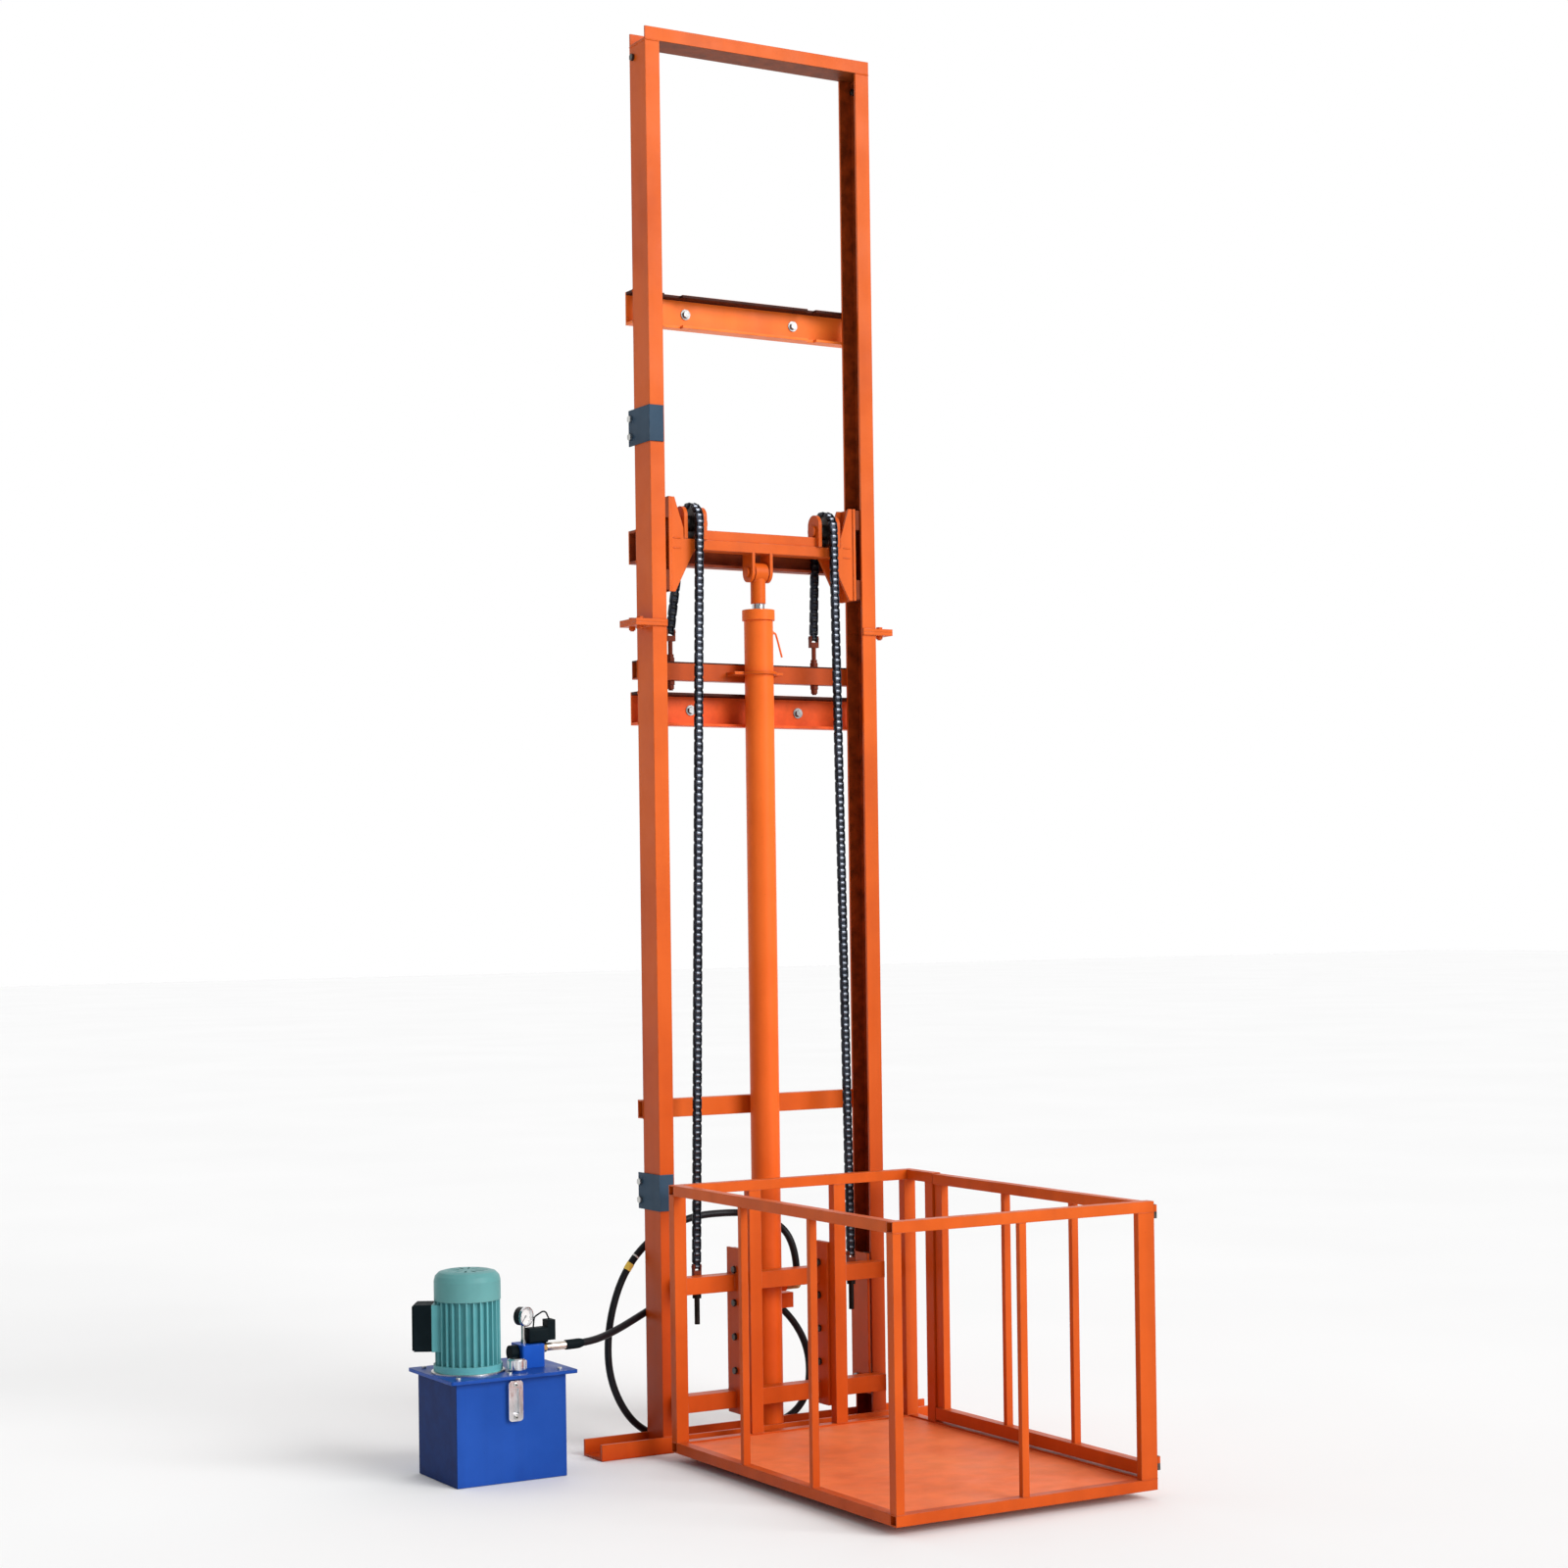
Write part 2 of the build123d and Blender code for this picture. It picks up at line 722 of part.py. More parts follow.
# Sheave pins with a collar outside each lug
with BuildPart() as sheave_pins:
    for side in (-1, 1):
        x = side * sheave_x
        reach = sheave_half + 1.0 + lug_t
        disc_x(x - reach - 9, x + reach + 9, sheave_y, sheave_z, pin_r)
        disc_x(x - reach - 9, x - reach - 1, sheave_y, sheave_z, pin_r + 6)
        disc_x(x + reach + 1, x + reach + 9, sheave_y, sheave_z, pin_r + 6)
save(sheave_pins, "sheave_pins")

with BuildPart() as clevis_pin:
    reach = ear_in + ear_t
    disc_x(-reach - 8, reach + 8, 0, eye_z, pin_r)
    disc_x(-reach - 8, -reach - 2, 0, eye_z, pin_r + 4)
    disc_x(reach + 2, reach + 8, 0, eye_z, pin_r + 4)
save(clevis_pin, "clevis_pin")

# Slide shoes that keep the crosshead in the columns
with BuildPart() as slide_shoes:
    shoe_x = mast_half - col_web - 1.5
    for side in (-1, 1):
        for z0 in (head_lo + 4, head_hi - 4 - shoe_h):
            half = cav_half - shoe_gap
            block(side * (head_x + head_t), side * shoe_x, -half, half, z0, z0 + shoe_h)
save(slide_shoes, "slide_shoes")

# Ram: piston, rod, sleeve and eye
with BuildPart() as ram:
    piston_z = base_web + cyl_cap + 10.0
    disc_z(0, 0, piston_z, piston_z + piston_h, bore_r - slide_gap)
    disc_z(0, 0, piston_z, eye_z, rod_r)
    disc_z(0, 0, cyl_top + gland_h + 20, eye_z, rod_r + 3)
    disc_x(-ear_in + 4, ear_in - 4, 0, eye_z, eye_r)
    disc_x(-ear_in, ear_in, 0, eye_z, pin_r + slide_gap, Mode.SUBTRACT)
save(ram, "ram")


def sheave(side, label):
    """Plain rim that carries the rollers, on a long hub."""
    x = side * sheave_x
    rim = sheave_r - roller_r - 0.4
    with BuildPart() as wheel:
        disc_x(x - sheave_half, x + sheave_half, sheave_y, sheave_z, 24.0)
        disc_x(x - rim_w / 2, x + rim_w / 2, sheave_y, sheave_z, rim)
        disc_x(x - sheave_half, x + sheave_half, sheave_y, sheave_z, pin_r + slide_gap, Mode.SUBTRACT)
    save(wheel, label)


sheave(-1, "left_sheave")
sheave(1, "right_sheave")

# Carriage rails with the lugs that the chains pull on
with BuildPart() as carriage_rails:
    for z in (rail_upper_z, rail_lower_z):
        tube_x(-rail_half, rail_half, rail_front, rail_back, z - rail_h / 2, z + rail_h / 2, tube_wall)
    for side in (-1, 1):
        x = side * front_foot_x
        block(x - 28, x + 28, rail_back, front_foot_y + 18, lug_plate_z, lug_plate_z + 12)
        disc_z(x, front_foot_y, lug_plate_z, lug_plate_z + 12, front_rod + 0.3, Mode.SUBTRACT)
save(carriage_rails, "carriage_rails")

# Chain ends on the carriage
with BuildPart() as front_chain_anchors:
    for side in (-1, 1):
        x = side * front_foot_x
        chain_end(x, front_foot_y, front_pin_z, lug_plate_z - 106, front_rod, 0.5)
        low = Plane(origin=(x, front_foot_y, lug_plate_z), z_dir=(0, 0, -1))
        hexagon(low, 26.0, 14.0)
        hexagon(low.offset(14.0), 26.0, 14.0)
save(front_chain_anchors, "front_chain_anchors")


def hang_plate(x0, y0, y1, gap):
    """Upright plate with bolt holes, notched behind for the two rails."""
    notch_y = rail_front - gap
    with BuildSketch(Plane.YZ.offset(x0)) as plate:
        with Locations(((y0 + y1) / 2, (plate_lo + plate_hi) / 2)):
            Rectangle(y1 - y0, plate_hi - plate_lo)
        with Locations(*[(hang_bolt_y, z) for z in hang_bolt_z]):
            Circle(bolt_r + bolt_gap, mode=Mode.SUBTRACT)
        with Locations(*[((notch_y + y1) / 2, z) for z in (rail_upper_z, rail_lower_z)]):
            Rectangle(y1 - notch_y, rail_h + 2 * gap, mode=Mode.SUBTRACT)
    extrude(plate.sketch, amount=plate_thick)


# Where the carriage plates and the cage's hanger plates meet
hang_joints = (-mid_post - post_w / 2, mid_post - post_w / 2)

with BuildPart() as carriage_plates:
    for x in hang_joints:
        hang_plate(x - plate_thick, plate_front, rail_back, 0.0)
save(carriage_plates, "carriage_plates")

with BuildPart() as carriage_bolts:
    for x in hang_joints:
        for z in hang_bolt_z:
            bolt((x - plate_thick, hang_bolt_y, z), (-1, 0, 0), 2 * plate_thick)
save(carriage_bolts, "carriage_bolts")

wheel_zs = (rail_upper_z, rail_lower_z)

# Side plates that carry the roller axles
with BuildPart() as roller_brackets:
    for side in (-1, 1):
        start = side_x if side > 0 else -side_x - side_t
        with BuildSketch(Plane.YZ.offset(start)):
            with BuildLine():
                Polyline(
                    (rail_back, rail_lower_z - 39),
                    (20, rail_lower_z - 39),
                    (34, rail_lower_z - 25),
                    (34, rail_upper_z + 31),
                    (20, rail_upper_z + 45),
                    (rail_back, rail_upper_z + 45),
                    close=True,
                )
            make_face()
            with Locations(*[(0, z) for z in wheel_zs]):
                Circle(axle_r + slide_gap, mode=Mode.SUBTRACT)
        extrude(amount=side_t)
save(roller_brackets, "roller_brackets")

with BuildPart() as roller_axles:
    for side in (-1, 1):
        for z in wheel_zs:
            near, far = side * (side_x - 10), side * (wheel_x1 + 4.5)
            disc_x(min(near, far), max(near, far), 0, z, axle_r)
            near, far = side * (side_x - 10), side * (side_x - 1)
            disc_x(min(near, far), max(near, far), 0, z, axle_r + 6)
            near, far = side * (side_x + side_t + 1), side * (wheel_x0 - 1)
            disc_x(min(near, far), max(near, far), 0, z, axle_r + 4)
save(roller_axles, "roller_axles")


def wheel(side, z, label):
    near, far = side * wheel_x0, side * wheel_x1
    with BuildPart() as tyre:
        disc_x(min(near, far), max(near, far), 0, z, wheel_r)
        disc_x(min(near, far), max(near, far), 0, z, axle_r + slide_gap, Mode.SUBTRACT)
    save(tyre, label)


wheel(-1, rail_upper_z, "roller_upper_left")
wheel(1, rail_upper_z, "roller_upper_right")
wheel(-1, rail_lower_z, "roller_lower_left")
wheel(1, rail_lower_z, "roller_lower_right")

# Cage rails across: their open ends show at the sides
with BuildPart() as cage_cross_rails:
    for y0 in (cage_front, cage_rear - cage_tube):
        for z0 in (cage_lo, cage_hi - cage_tube):
            tube_x(-cage_half, cage_half, y0, y0 + cage_tube, z0, z0 + cage_tube, cage_wall)
save(cage_cross_rails, "cage_cross_rails")

with BuildPart() as cage_side_rails:
    y0, y1 = cage_front + cage_tube, cage_rear - cage_tube
    x0 = cage_half - cage_tube
    for z0 in (cage_lo, cage_hi - cage_tube):
        tube_y(-cage_half, -x0, y0, y1, z0, z0 + cage_tube, cage_wall)
    tube_y(x0, cage_half, y0, y1, cage_lo, cage_lo + cage_tube, cage_wall)
    tube_y(x0, cage_half, gate_post_y - gate_post_d, y1, cage_hi - cage_tube, cage_hi, cage_wall)
save(cage_side_rails, "cage_side_rails")

post_lo = cage_lo + cage_tube
post_hi = cage_hi - cage_tube

# Upright posts, with the hanger plates welded to the two in the middle of the back
with BuildPart() as cage_posts:
    for x in (-cage_half + post_w / 2, -mid_post, mid_post, cage_half - post_w / 2):
        x0 = x - post_w / 2
        tube_z(x0, x0 + post_w, cage_rear - cage_tube, cage_rear, post_lo, post_hi, cage_wall)
    for x in hang_joints:
        hang_plate(x, cage_rear, hang_back, hang_gap)
    x1 = -cage_half + front_left_post
    tube_z(-cage_half, x1, cage_front, cage_front + cage_tube, post_lo, post_hi, cage_wall)
    x0 = cage_half - front_right_post
    tube_z(x0, cage_half, cage_front, cage_front + front_post_depth, post_lo, post_hi, cage_wall)
    x0 = cage_half - cage_tube
    tube_z(x0, cage_half, gate_post_y - gate_post_d, gate_post_y, post_lo, post_hi, cage_wall)
save(cage_posts, "cage_posts")

# Thin bars between the posts
with BuildPart() as cage_bars:
    for y in left_bars:
        block(-cage_half, -cage_half + bar_x, y, y + bar_y, post_lo, post_hi)
    block(front_bar, front_bar + bar_x, cage_front, cage_front + bar_y, post_lo, post_hi)
save(cage_bars, "cage_bars")

# Floor sheet on joists
with BuildPart() as cage_floor:
    inside = cage_half - cage_tube
    y0, y1 = cage_front + cage_tube, cage_rear - cage_tube
    block(-inside, inside, y0, y1, floor_z, floor_z + floor_t)
    for k in (1, 2, 3):
        y = y0 + (y1 - y0) * k / 4
        block(-inside, inside, y - 15, y + 15, cage_lo, floor_z)
save(cage_floor, "cage_floor")

# Gate: rails, stiles and bars welded up, with a strap and knuckle at each hinge
with BuildPart() as gate_frame:
    x0 = cage_half - cage_tube
    y0 = cage_front + cage_tube + gate_gap
    y1 = gate_post_y - gate_post_d - gate_gap
    foot_z = gate_lo + gate_foot
    head_z = gate_hi - gate_rail
    tube_y(x0, cage_half, y0, y1, gate_lo, foot_z, cage_wall)
    tube_y(x0, cage_half, y0, y1, head_z, gate_hi, cage_wall)
    stile_x = cage_half - gate_stile_x
    tube_z(stile_x, cage_half, y0, y0 + front_stile_y, foot_z, head_z, cage_wall)
    tube_z(stile_x, cage_half, y1 - rear_stile_y, y1, foot_z, head_z, cage_wall)
    for y in right_bars:
        block(cage_half - bar_x, cage_half, y, y + bar_y, foot_z, head_z)
    for z in hinge_zs:
        z0 = z + knuckle_h + 0.5
        disc_z(hinge_x, hinge_y, z0, z0 + knuckle_h, knuckle_r)
        strap_x = hinge_x - knuckle_r
        block(strap_x, strap_x + 4, hinge_y, y0, z0 + 2, z0 + knuckle_h - 2)
        block(cage_half, strap_x + 4, y0, y0 + 40, z0 + 2, z0 + knuckle_h - 2)
        disc_z(hinge_x, hinge_y, z0, z0 + knuckle_h, hinge_pin_r + slide_gap, Mode.SUBTRACT)
save(gate_frame, "gate_frame")

# Fixed knuckles with their pins on the front corner post
with BuildPart() as gate_hinges:
    for z in hinge_zs:
        disc_z(hinge_x, hinge_y, z, z + knuckle_h, knuckle_r)
        block(cage_half, hinge_x, hinge_y - 5, hinge_y + 5, z, z + knuckle_h)
        disc_z(hinge_x, hinge_y, z + knuckle_h, z + 2 * knuckle_h + 2, hinge_pin_r)
save(gate_hinges, "gate_hinges")

# Oil tank, open on top with a lip that the cover is screwed to
with BuildPart() as tank:
    block(tank_x0, tank_x1, tank_y0, tank_y1, 0, tank_h)
    block(
        tank_x0 + tank_t,
        tank_x1 - tank_t,
        tank_y0 + tank_t,
        tank_y1 - tank_t,
        tank_t,
        tank_h - tank_t,
        Mode.SUBTRACT,
    )
    block(
        tank_x0 + tank_lip,
        tank_x1 - tank_lip,
        tank_y0 + tank_lip,
        tank_y1 - tank_lip,
        tank_h - tank_t,
        tank_h,
        Mode.SUBTRACT,
    )
    for x, y in screw_spots:
        disc_z(x, y, tank_h - tank_t, tank_h, 4.3, Mode.SUBTRACT)
save(tank, "tank")

with BuildPart() as tank_cover:
    block(cover_x0, cover_x1, cover_y0, cover_y1, tank_h, cover_top)
    fillet(tank_cover.edges().filter_by(Axis.Z), 6.0)
    for x, y in screw_spots:
        disc_z(x, y, tank_h, cover_top, 4.3, Mode.SUBTRACT)
    disc_z(motor_x, motor_y, tank_h, cover_top, shaft_r + 6, Mode.SUBTRACT)
    disc_z(filler_x, filler_y, cover_top, cover_top + 5, 24.0)
    disc_z(filler_x, filler_y, cover_top + 5, cover_top + 18, neck_r)
    disc_z(filler_x, filler_y, tank_h, cover_top + 18, neck_r - 5, Mode.SUBTRACT)
save(tank_cover, "tank_cover")

with BuildPart() as cover_screws:
    for x, y in screw_spots:
        disc_z(x, y, tank_h - tank_t - 8, cover_top, 4.0)
        hexagon(Plane(origin=(x, y, cover_top), z_dir=(0, 0, 1)), 13.0, 6.0)
save(cover_screws, "cover_screws")

box_plane = Plane(origin=(motor_x, motor_y, 0), x_dir=(cos(box_turn), sin(box_turn), 0), z_dir=(0, 0, 1))


def beside_motor(r0, r1, half, z0, z1):
    """Block that stands out from the motor on the side of the terminal box."""
    with BuildSketch(box_plane.offset(z0)) as section:
        with Locations(((r0 + r1) / 2, 0)):
            Rectangle(r1 - r0, 2 * half)
    extrude(section.sketch, amount=z1 - z0)


# Motor housing with flange, fins and terminal pad
with BuildPart() as motor_housing:
    disc_z(motor_x, motor_y, cover_top, cover_top + flange_t, fin_r + 5)
    disc_z(motor_x, motor_y, cover_top + flange_t, motor_top, motor_r)
    fin_z0 = cover_top + flange_t
    with Locations((motor_x, motor_y, (fin_z0 + motor_top) / 2)):
        with PolarLocations((motor_r - 3 + fin_r) / 2, fin_n):
            Box(fin_r - motor_r + 3, 4.0, motor_top - fin_z0)
    beside_motor(motor_r - 12, pad_r, box_half, box_z0, box_z1)
    disc_z(motor_x, motor_y, fin_z0 + 8, motor_top - 14, rotor_r + 2, Mode.SUBTRACT)
    disc_z(motor_x, motor_y, cover_top, motor_top, shaft_r + slide_gap, Mode.SUBTRACT)
save(motor_housing, "motor_housing")

motor_axis = Axis((motor_x, motor_y, 0), (0, 0, 1))
motor_section = Plane(origin=(motor_x, motor_y, 0), x_dir=(1, 0, 0), z_dir=(0, -1, 0))

# Fan cowl: a cup with a faceted shoulder and air slots
with BuildPart() as fan_cowl:
    turn_r = cowl_r - cowl_round
    turn_z = cowl_top - cowl_round
    inner = cowl_round - cowl_t
    bends = [radians(30 * k) for k in range(4)]
    outside = [(turn_r + cowl_round * sin(a), turn_z + cowl_round * cos(a)) for a in bends]
    inside = [(turn_r + inner * sin(a), turn_z + inner * cos(a)) for a in reversed(bends)]
    with BuildSketch(motor_section):
        with BuildLine():
            Polyline(
                (0, cowl_top),
                *outside,
                (cowl_r, motor_top),
                (cowl_r - cowl_t, motor_top),
                *inside,
                (0, cowl_top - cowl_t),
                close=True,
            )
        make_face()
    revolve(axis=motor_axis)
    with BuildSketch(Plane.XY.offset(cowl_top - 4)):
        with Locations((motor_x, motor_y)):
            with PolarLocations(42.0, 12):
                Rectangle(36.0, 6.0)
    extrude(amount=5, mode=Mode.SUBTRACT)
save(fan_cowl, "fan_cowl")

with BuildPart() as terminal_box:
    beside_motor(pad_r, box_r, box_half, box_z0, box_z1)
    fillet(terminal_box.edges().filter_by(Axis((0, 0, 0), box_plane.x_dir)), 8.0)
    beside_motor(box_r, lid_r, box_half - 4, box_z0 + 4, box_z1 - 4)
save(terminal_box, "terminal_box")


def gear(x, y, twist, z0, z1):
    """Straight-flanked spur gear."""
    tip = gear_m * (gear_n / 2 + 0.93)
    root = gear_m * (gear_n / 2 - 1.2)
    outline = []
    for k in range(gear_n):
        middle = twist + 2 * pi * k / gear_n
        for r, spread in ((root, -tooth_root), (tip, -tooth_tip), (tip, tooth_tip), (root, tooth_root)):
            a = middle + radians(spread)
            outline.append((x + r * cos(a), y + r * sin(a)))
    with BuildSketch(Plane.XY.offset(z0)) as section:
        with BuildLine():
            Polyline(*outline, close=True)
        make_face()
    extrude(section.sketch, amount=z1 - z0)


gear_gap = gear_m * gear_n
gear_tip = gear_m * (gear_n / 2 + 0.93)
pump_z0 = tank_h - 94.0
pump_z1 = tank_h - 34.0

# Rotor, shaft, fan and driving gear turn together
with BuildPart() as motor_rotor:
    disc_z(motor_x, motor_y, pump_z0 + 6, cowl_top - 40, shaft_r)
    disc_z(motor_x, motor_y, fin_z0 + 12, motor_top - 18, rotor_r)
    disc_z(motor_x, motor_y, motor_top + 12, motor_top + 42, 24.0)
    with Locations((motor_x, motor_y, motor_top + 27)):
        with PolarLocations(46.0, 8):
            Box(52.0, 3.0, 26.0)
    gear(motor_x, motor_y, 0.0, pump_z0 + 6, pump_z1 - 6)
save(motor_rotor, "motor_rotor")

with BuildPart() as pump_idle_gear:
    gear(motor_x + gear_gap, motor_y, pi / gear_n, pump_z0 + 6, pump_z1 - 6)
    disc_z(motor_x + gear_gap, motor_y, pump_z0 + 3, pump_z1 - 3, 8.0)
save(pump_idle_gear, "pump_idle_gear")

# Gear pump body under a hollow bell
with BuildPart() as pump_body:
    block(motor_x - 32, motor_x + gear_gap + 32, motor_y - 34, motor_y + 34, pump_z0, pump_z1)
    disc_z(motor_x, motor_y, pump_z1, tank_h, 34.0)
    for x in (motor_x, motor_x + gear_gap):
        disc_z(x, motor_y, pump_z0 + 5.5, pump_z1 - 5.5, gear_tip + 0.3, Mode.SUBTRACT)
    disc_z(motor_x + gear_gap, motor_y, pump_z0 + 2.5, pump_z1 - 2.5, 8.0 + slide_gap, Mode.SUBTRACT)
    disc_z(motor_x, motor_y, pump_z0 + 5.5, pump_z1 + 6, shaft_r + slide_gap, Mode.SUBTRACT)
    disc_z(motor_x, motor_y, pump_z1 + 6, tank_h, 26.0, Mode.SUBTRACT)
save(pump_body, "pump_body")

# Suction strainer on a short pipe
with BuildPart() as suction_strainer:
    strainer_x = motor_x + gear_gap / 2
    disc_z(strainer_x, motor_y, pump_z0 - 60, pump_z0, 10.0)
    disc_z(strainer_x, motor_y, pump_z0 - 130, pump_z0 - 60, 32.0)
save(suction_strainer, "suction_strainer")

block_top = cover_top + block_h

# Valve block with chamfered edges
with BuildPart() as valve_block:
    block(
        block_x - block_w / 2,
        block_x + block_w / 2,
        block_y - block_d / 2,
        block_y + block_d / 2,
        cover_top,
        block_top,
    )
    chamfer(valve_block.edges().filter_by(Axis.Z), 3.0)
save(valve_block, "valve_block")

# Solenoid valve: coil, plug with its lead, and the lowering valve beside the block
with BuildPart() as solenoid_valve:
    coil_x0 = block_x - 5
    coil_x1 = block_x + block_w / 2 + 18
    coil_z1 = block_top + 44
    block(coil_x0, coil_x1, block_y - 25, block_y + 15, block_top, coil_z1)
    fillet(solenoid_valve.edges().filter_by(Axis.X), 8.0)
    block(coil_x1, coil_x1 + 25, block_y - 22, block_y + 12, block_top + 6, coil_z1 + 20)
    side_z = cover_top + 42
    disc_x(block_x - block_w / 2 - 24, block_x - block_w / 2, block_y, side_z, 22.0)
    with BuildLine():
        lead_y = block_y - 5
        FilletPolyline(
            (coil_x0 + 20, lead_y, coil_z1 - 2),
            (coil_x0 + 24, lead_y, coil_z1 + 30),
            (coil_x1, lead_y, coil_z1 + 48),
            (coil_x1 + 14, lead_y, coil_z1 + 18),
            radius=12.0,
        )
    with BuildSketch(Plane(origin=(coil_x0 + 20, lead_y, coil_z1 - 2), z_dir=(4, 0, 32))):
        Circle(2.3)
    sweep()
save(solenoid_valve, "solenoid_valve")

gauge_plane = Plane(
    origin=(gauge_x, block_y, block_top + gauge_stem + gauge_r),
    x_dir=(cos(gauge_turn), sin(gauge_turn), 0),
    z_dir=(sin(gauge_turn), -cos(gauge_turn), 0),
)

# Pressure gauge: case with a raised bezel on a stem
with BuildPart() as pressure_gauge:
    with BuildSketch(gauge_plane.offset(-14)):
        Circle(gauge_r - 1.5)
    extrude(amount=22)
    with BuildSketch(gauge_plane.offset(8)):
        Circle(gauge_r)
        Circle(gauge_r - 3, mode=Mode.SUBTRACT)
    extrude(amount=8)
    disc_z(gauge_x, block_y, block_top, block_top + gauge_stem + 6, 6.5)
    hexagon(Plane(origin=(gauge_x, block_y, block_top), z_dir=(0, 0, 1)), 14.0, 12.0)
save(pressure_gauge, "pressure_gauge")

with BuildPart() as gauge_needle:
    with BuildSketch(gauge_plane.offset(9)):
        Circle(3.0)
        with Locations(Location((-6, -6, 0), (0, 0, 45))):
            Rectangle(26.0, 2.0)
    extrude(amount=1.2)
save(gauge_needle, "gauge_needle")

# Filler cap on the neck of the cover
with BuildPart() as filler_cap:
    disc_z(filler_x, filler_y, cover_top + 6, cover_top + 38, 26.0)
    chamfer(filler_cap.edges().group_by(Axis.Z)[-1], 4.0)
    with Locations((filler_x, filler_y, cover_top + 20)):
        with PolarLocations(26.5, 12):
            Cylinder(2.2, 24.0)
    disc_z(filler_x, filler_y, cover_top + 6, cover_top + 20, neck_r + 0.3, Mode.SUBTRACT)
save(filler_cap, "filler_cap")

# Level gauge: a frame with a glass on the front of the tank
with BuildPart() as level_gauge:
    block(level_x - 22, level_x + 22, tank_y0 - 14, tank_y0, level_z - 57, level_z + 57)
    fillet(level_gauge.edges().filter_by(Axis.Y), 10.0)
    block(level_x - 9, level_x + 9, tank_y0 - 14, tank_y0 - 6, level_z - 36, level_z + 36, Mode.SUBTRACT)
save(level_gauge, "level_gauge")

# Glasses of the pressure gauge and the level gauge
with BuildPart() as sight_glasses:
    round_bar(gauge_plane.offset(12), gauge_r - 3, 2.5)
    block(level_x - 9, level_x + 9, tank_y0 - 10, tank_y0 - 6, level_z - 36, level_z + 36)
save(sight_glasses, "sight_glasses")
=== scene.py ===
from math import cos, pi, radians, sin, sqrt

import bpy
from mathutils import Matrix, Vector


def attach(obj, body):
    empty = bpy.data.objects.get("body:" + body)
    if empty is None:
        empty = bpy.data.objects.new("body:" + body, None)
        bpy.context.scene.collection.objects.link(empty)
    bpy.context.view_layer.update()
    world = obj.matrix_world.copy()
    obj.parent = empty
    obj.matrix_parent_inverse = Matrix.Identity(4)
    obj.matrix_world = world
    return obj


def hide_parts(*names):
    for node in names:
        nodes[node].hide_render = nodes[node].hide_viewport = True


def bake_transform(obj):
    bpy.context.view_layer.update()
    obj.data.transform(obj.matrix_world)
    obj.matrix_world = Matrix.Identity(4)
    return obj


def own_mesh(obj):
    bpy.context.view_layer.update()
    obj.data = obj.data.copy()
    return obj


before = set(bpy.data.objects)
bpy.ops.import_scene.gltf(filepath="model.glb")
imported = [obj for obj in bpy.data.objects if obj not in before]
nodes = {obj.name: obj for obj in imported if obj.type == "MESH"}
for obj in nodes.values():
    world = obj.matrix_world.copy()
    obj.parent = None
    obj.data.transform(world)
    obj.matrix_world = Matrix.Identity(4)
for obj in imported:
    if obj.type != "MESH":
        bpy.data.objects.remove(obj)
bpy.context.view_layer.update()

# Camera, solved from the photograph
CAMERA_AT = (-4.27648, -7.39504, 1.60842)
CAMERA_YAW = radians(30.40)
CAMERA_PITCH = radians(0.343)
CAMERA_ROLL = radians(-0.768)
CAMERA_LENS = 64.25
SENSOR_WIDTH = 36.0
CAMERA_SHIFT = (0.0028, 0.069)

# Roller chain
PITCH = 0.01905
PLATE_T = 0.0024
INNER_GAP = 0.0074
CLEVIS_GAP = 0.0063
OUTER_GAP = 0.00995
INNER_HALF_H = 0.0076
OUTER_HALF_H = 0.0070
PLATE_PAST = 0.0078
JOINED_PAST = 0.0053
PLATE_CORNER = 0.0052
# Half height of the dark block that stands as painted shade between the rollers
GAP_SHADE_HALF_H = 0.0034
ROLLER_R = 0.0064
ROLLER_HALF = 0.0072
PIN_R = 0.0030
PIN_HALF = 0.0132
PLATE_BEVEL = 0.0004
PIN_BEVEL = 0.0006
PIN_END = 0.62
PIN_SIDES = 10
ROLLER_END = 0.92
ROLLER_STRAIGHT = 0.9
ROLLER_SIDES = 16
PER_TURN = 18
N_REAR = 17
N_FRONT = 117
N_FEET = 3
SHEAVE_X = 0.235
SHEAVE_Y = -0.0065
SHEAVE_Z = 2.772
FRONT_FOOT = (0.271, -0.048)
REAR_FEET = {-1: (-0.270, 0.068), 1: (0.237, 0.068)}
SHEAVE_R = PITCH / (2 * sin(pi / PER_TURN))

# Mast, crosshead, carriage and cage sizes that the welds follow
MAST_HALF = 0.392
COLUMN_IN = 0.344
COLUMN_HALF_Y = 0.050
BASE_TOP = 0.048
MAST_TOP = 4.200
JOINT_LEVELS = (2.455, 2.475)
# Level, half height and welded end length of each cross member
CROSS_MEMBERS = (
    (3.424, 0.050, 0.008),
    (2.702, 0.050, 0.008),
    (2.217, 0.050, 0.008),
    (2.332, 0.028, 0.028),
    (1.013, 0.0275, 0.0275),
)
# Stay weld: distance from the middle, depth, lower and upper end
STAY = (0.0425, 0.014, 0.385, 0.431)
# Collar plate: half width, lower and upper face
CLAMP = (0.085, 2.3235, 2.3325)
HEAD_X = 0.320
HEAD_LEVELS = (2.561, 2.845)
GUSSET_Y = 0.037
BEAM_LEVELS = (2.692, 2.722)
BEAM_HALF_Y = 0.029
UPPER_BEAM = (0.196, 0.023)
LUG_FACES = (0.196, 0.208, 0.262, 0.274)
EAR_FACES = (0.026, 0.036)
GUSSET_SEAM = (0.035, 0.008)
LUG_SEAM_SHORT = 0.004
RAIL_LEVELS = (0.147, 0.495)
RAIL_HALF_H = 0.025
RAIL_Y = (-0.110, -0.062)
PLATE_FACES = (-0.175, 0.119)
ROLLER_PLATE = (0.322, 0.330)
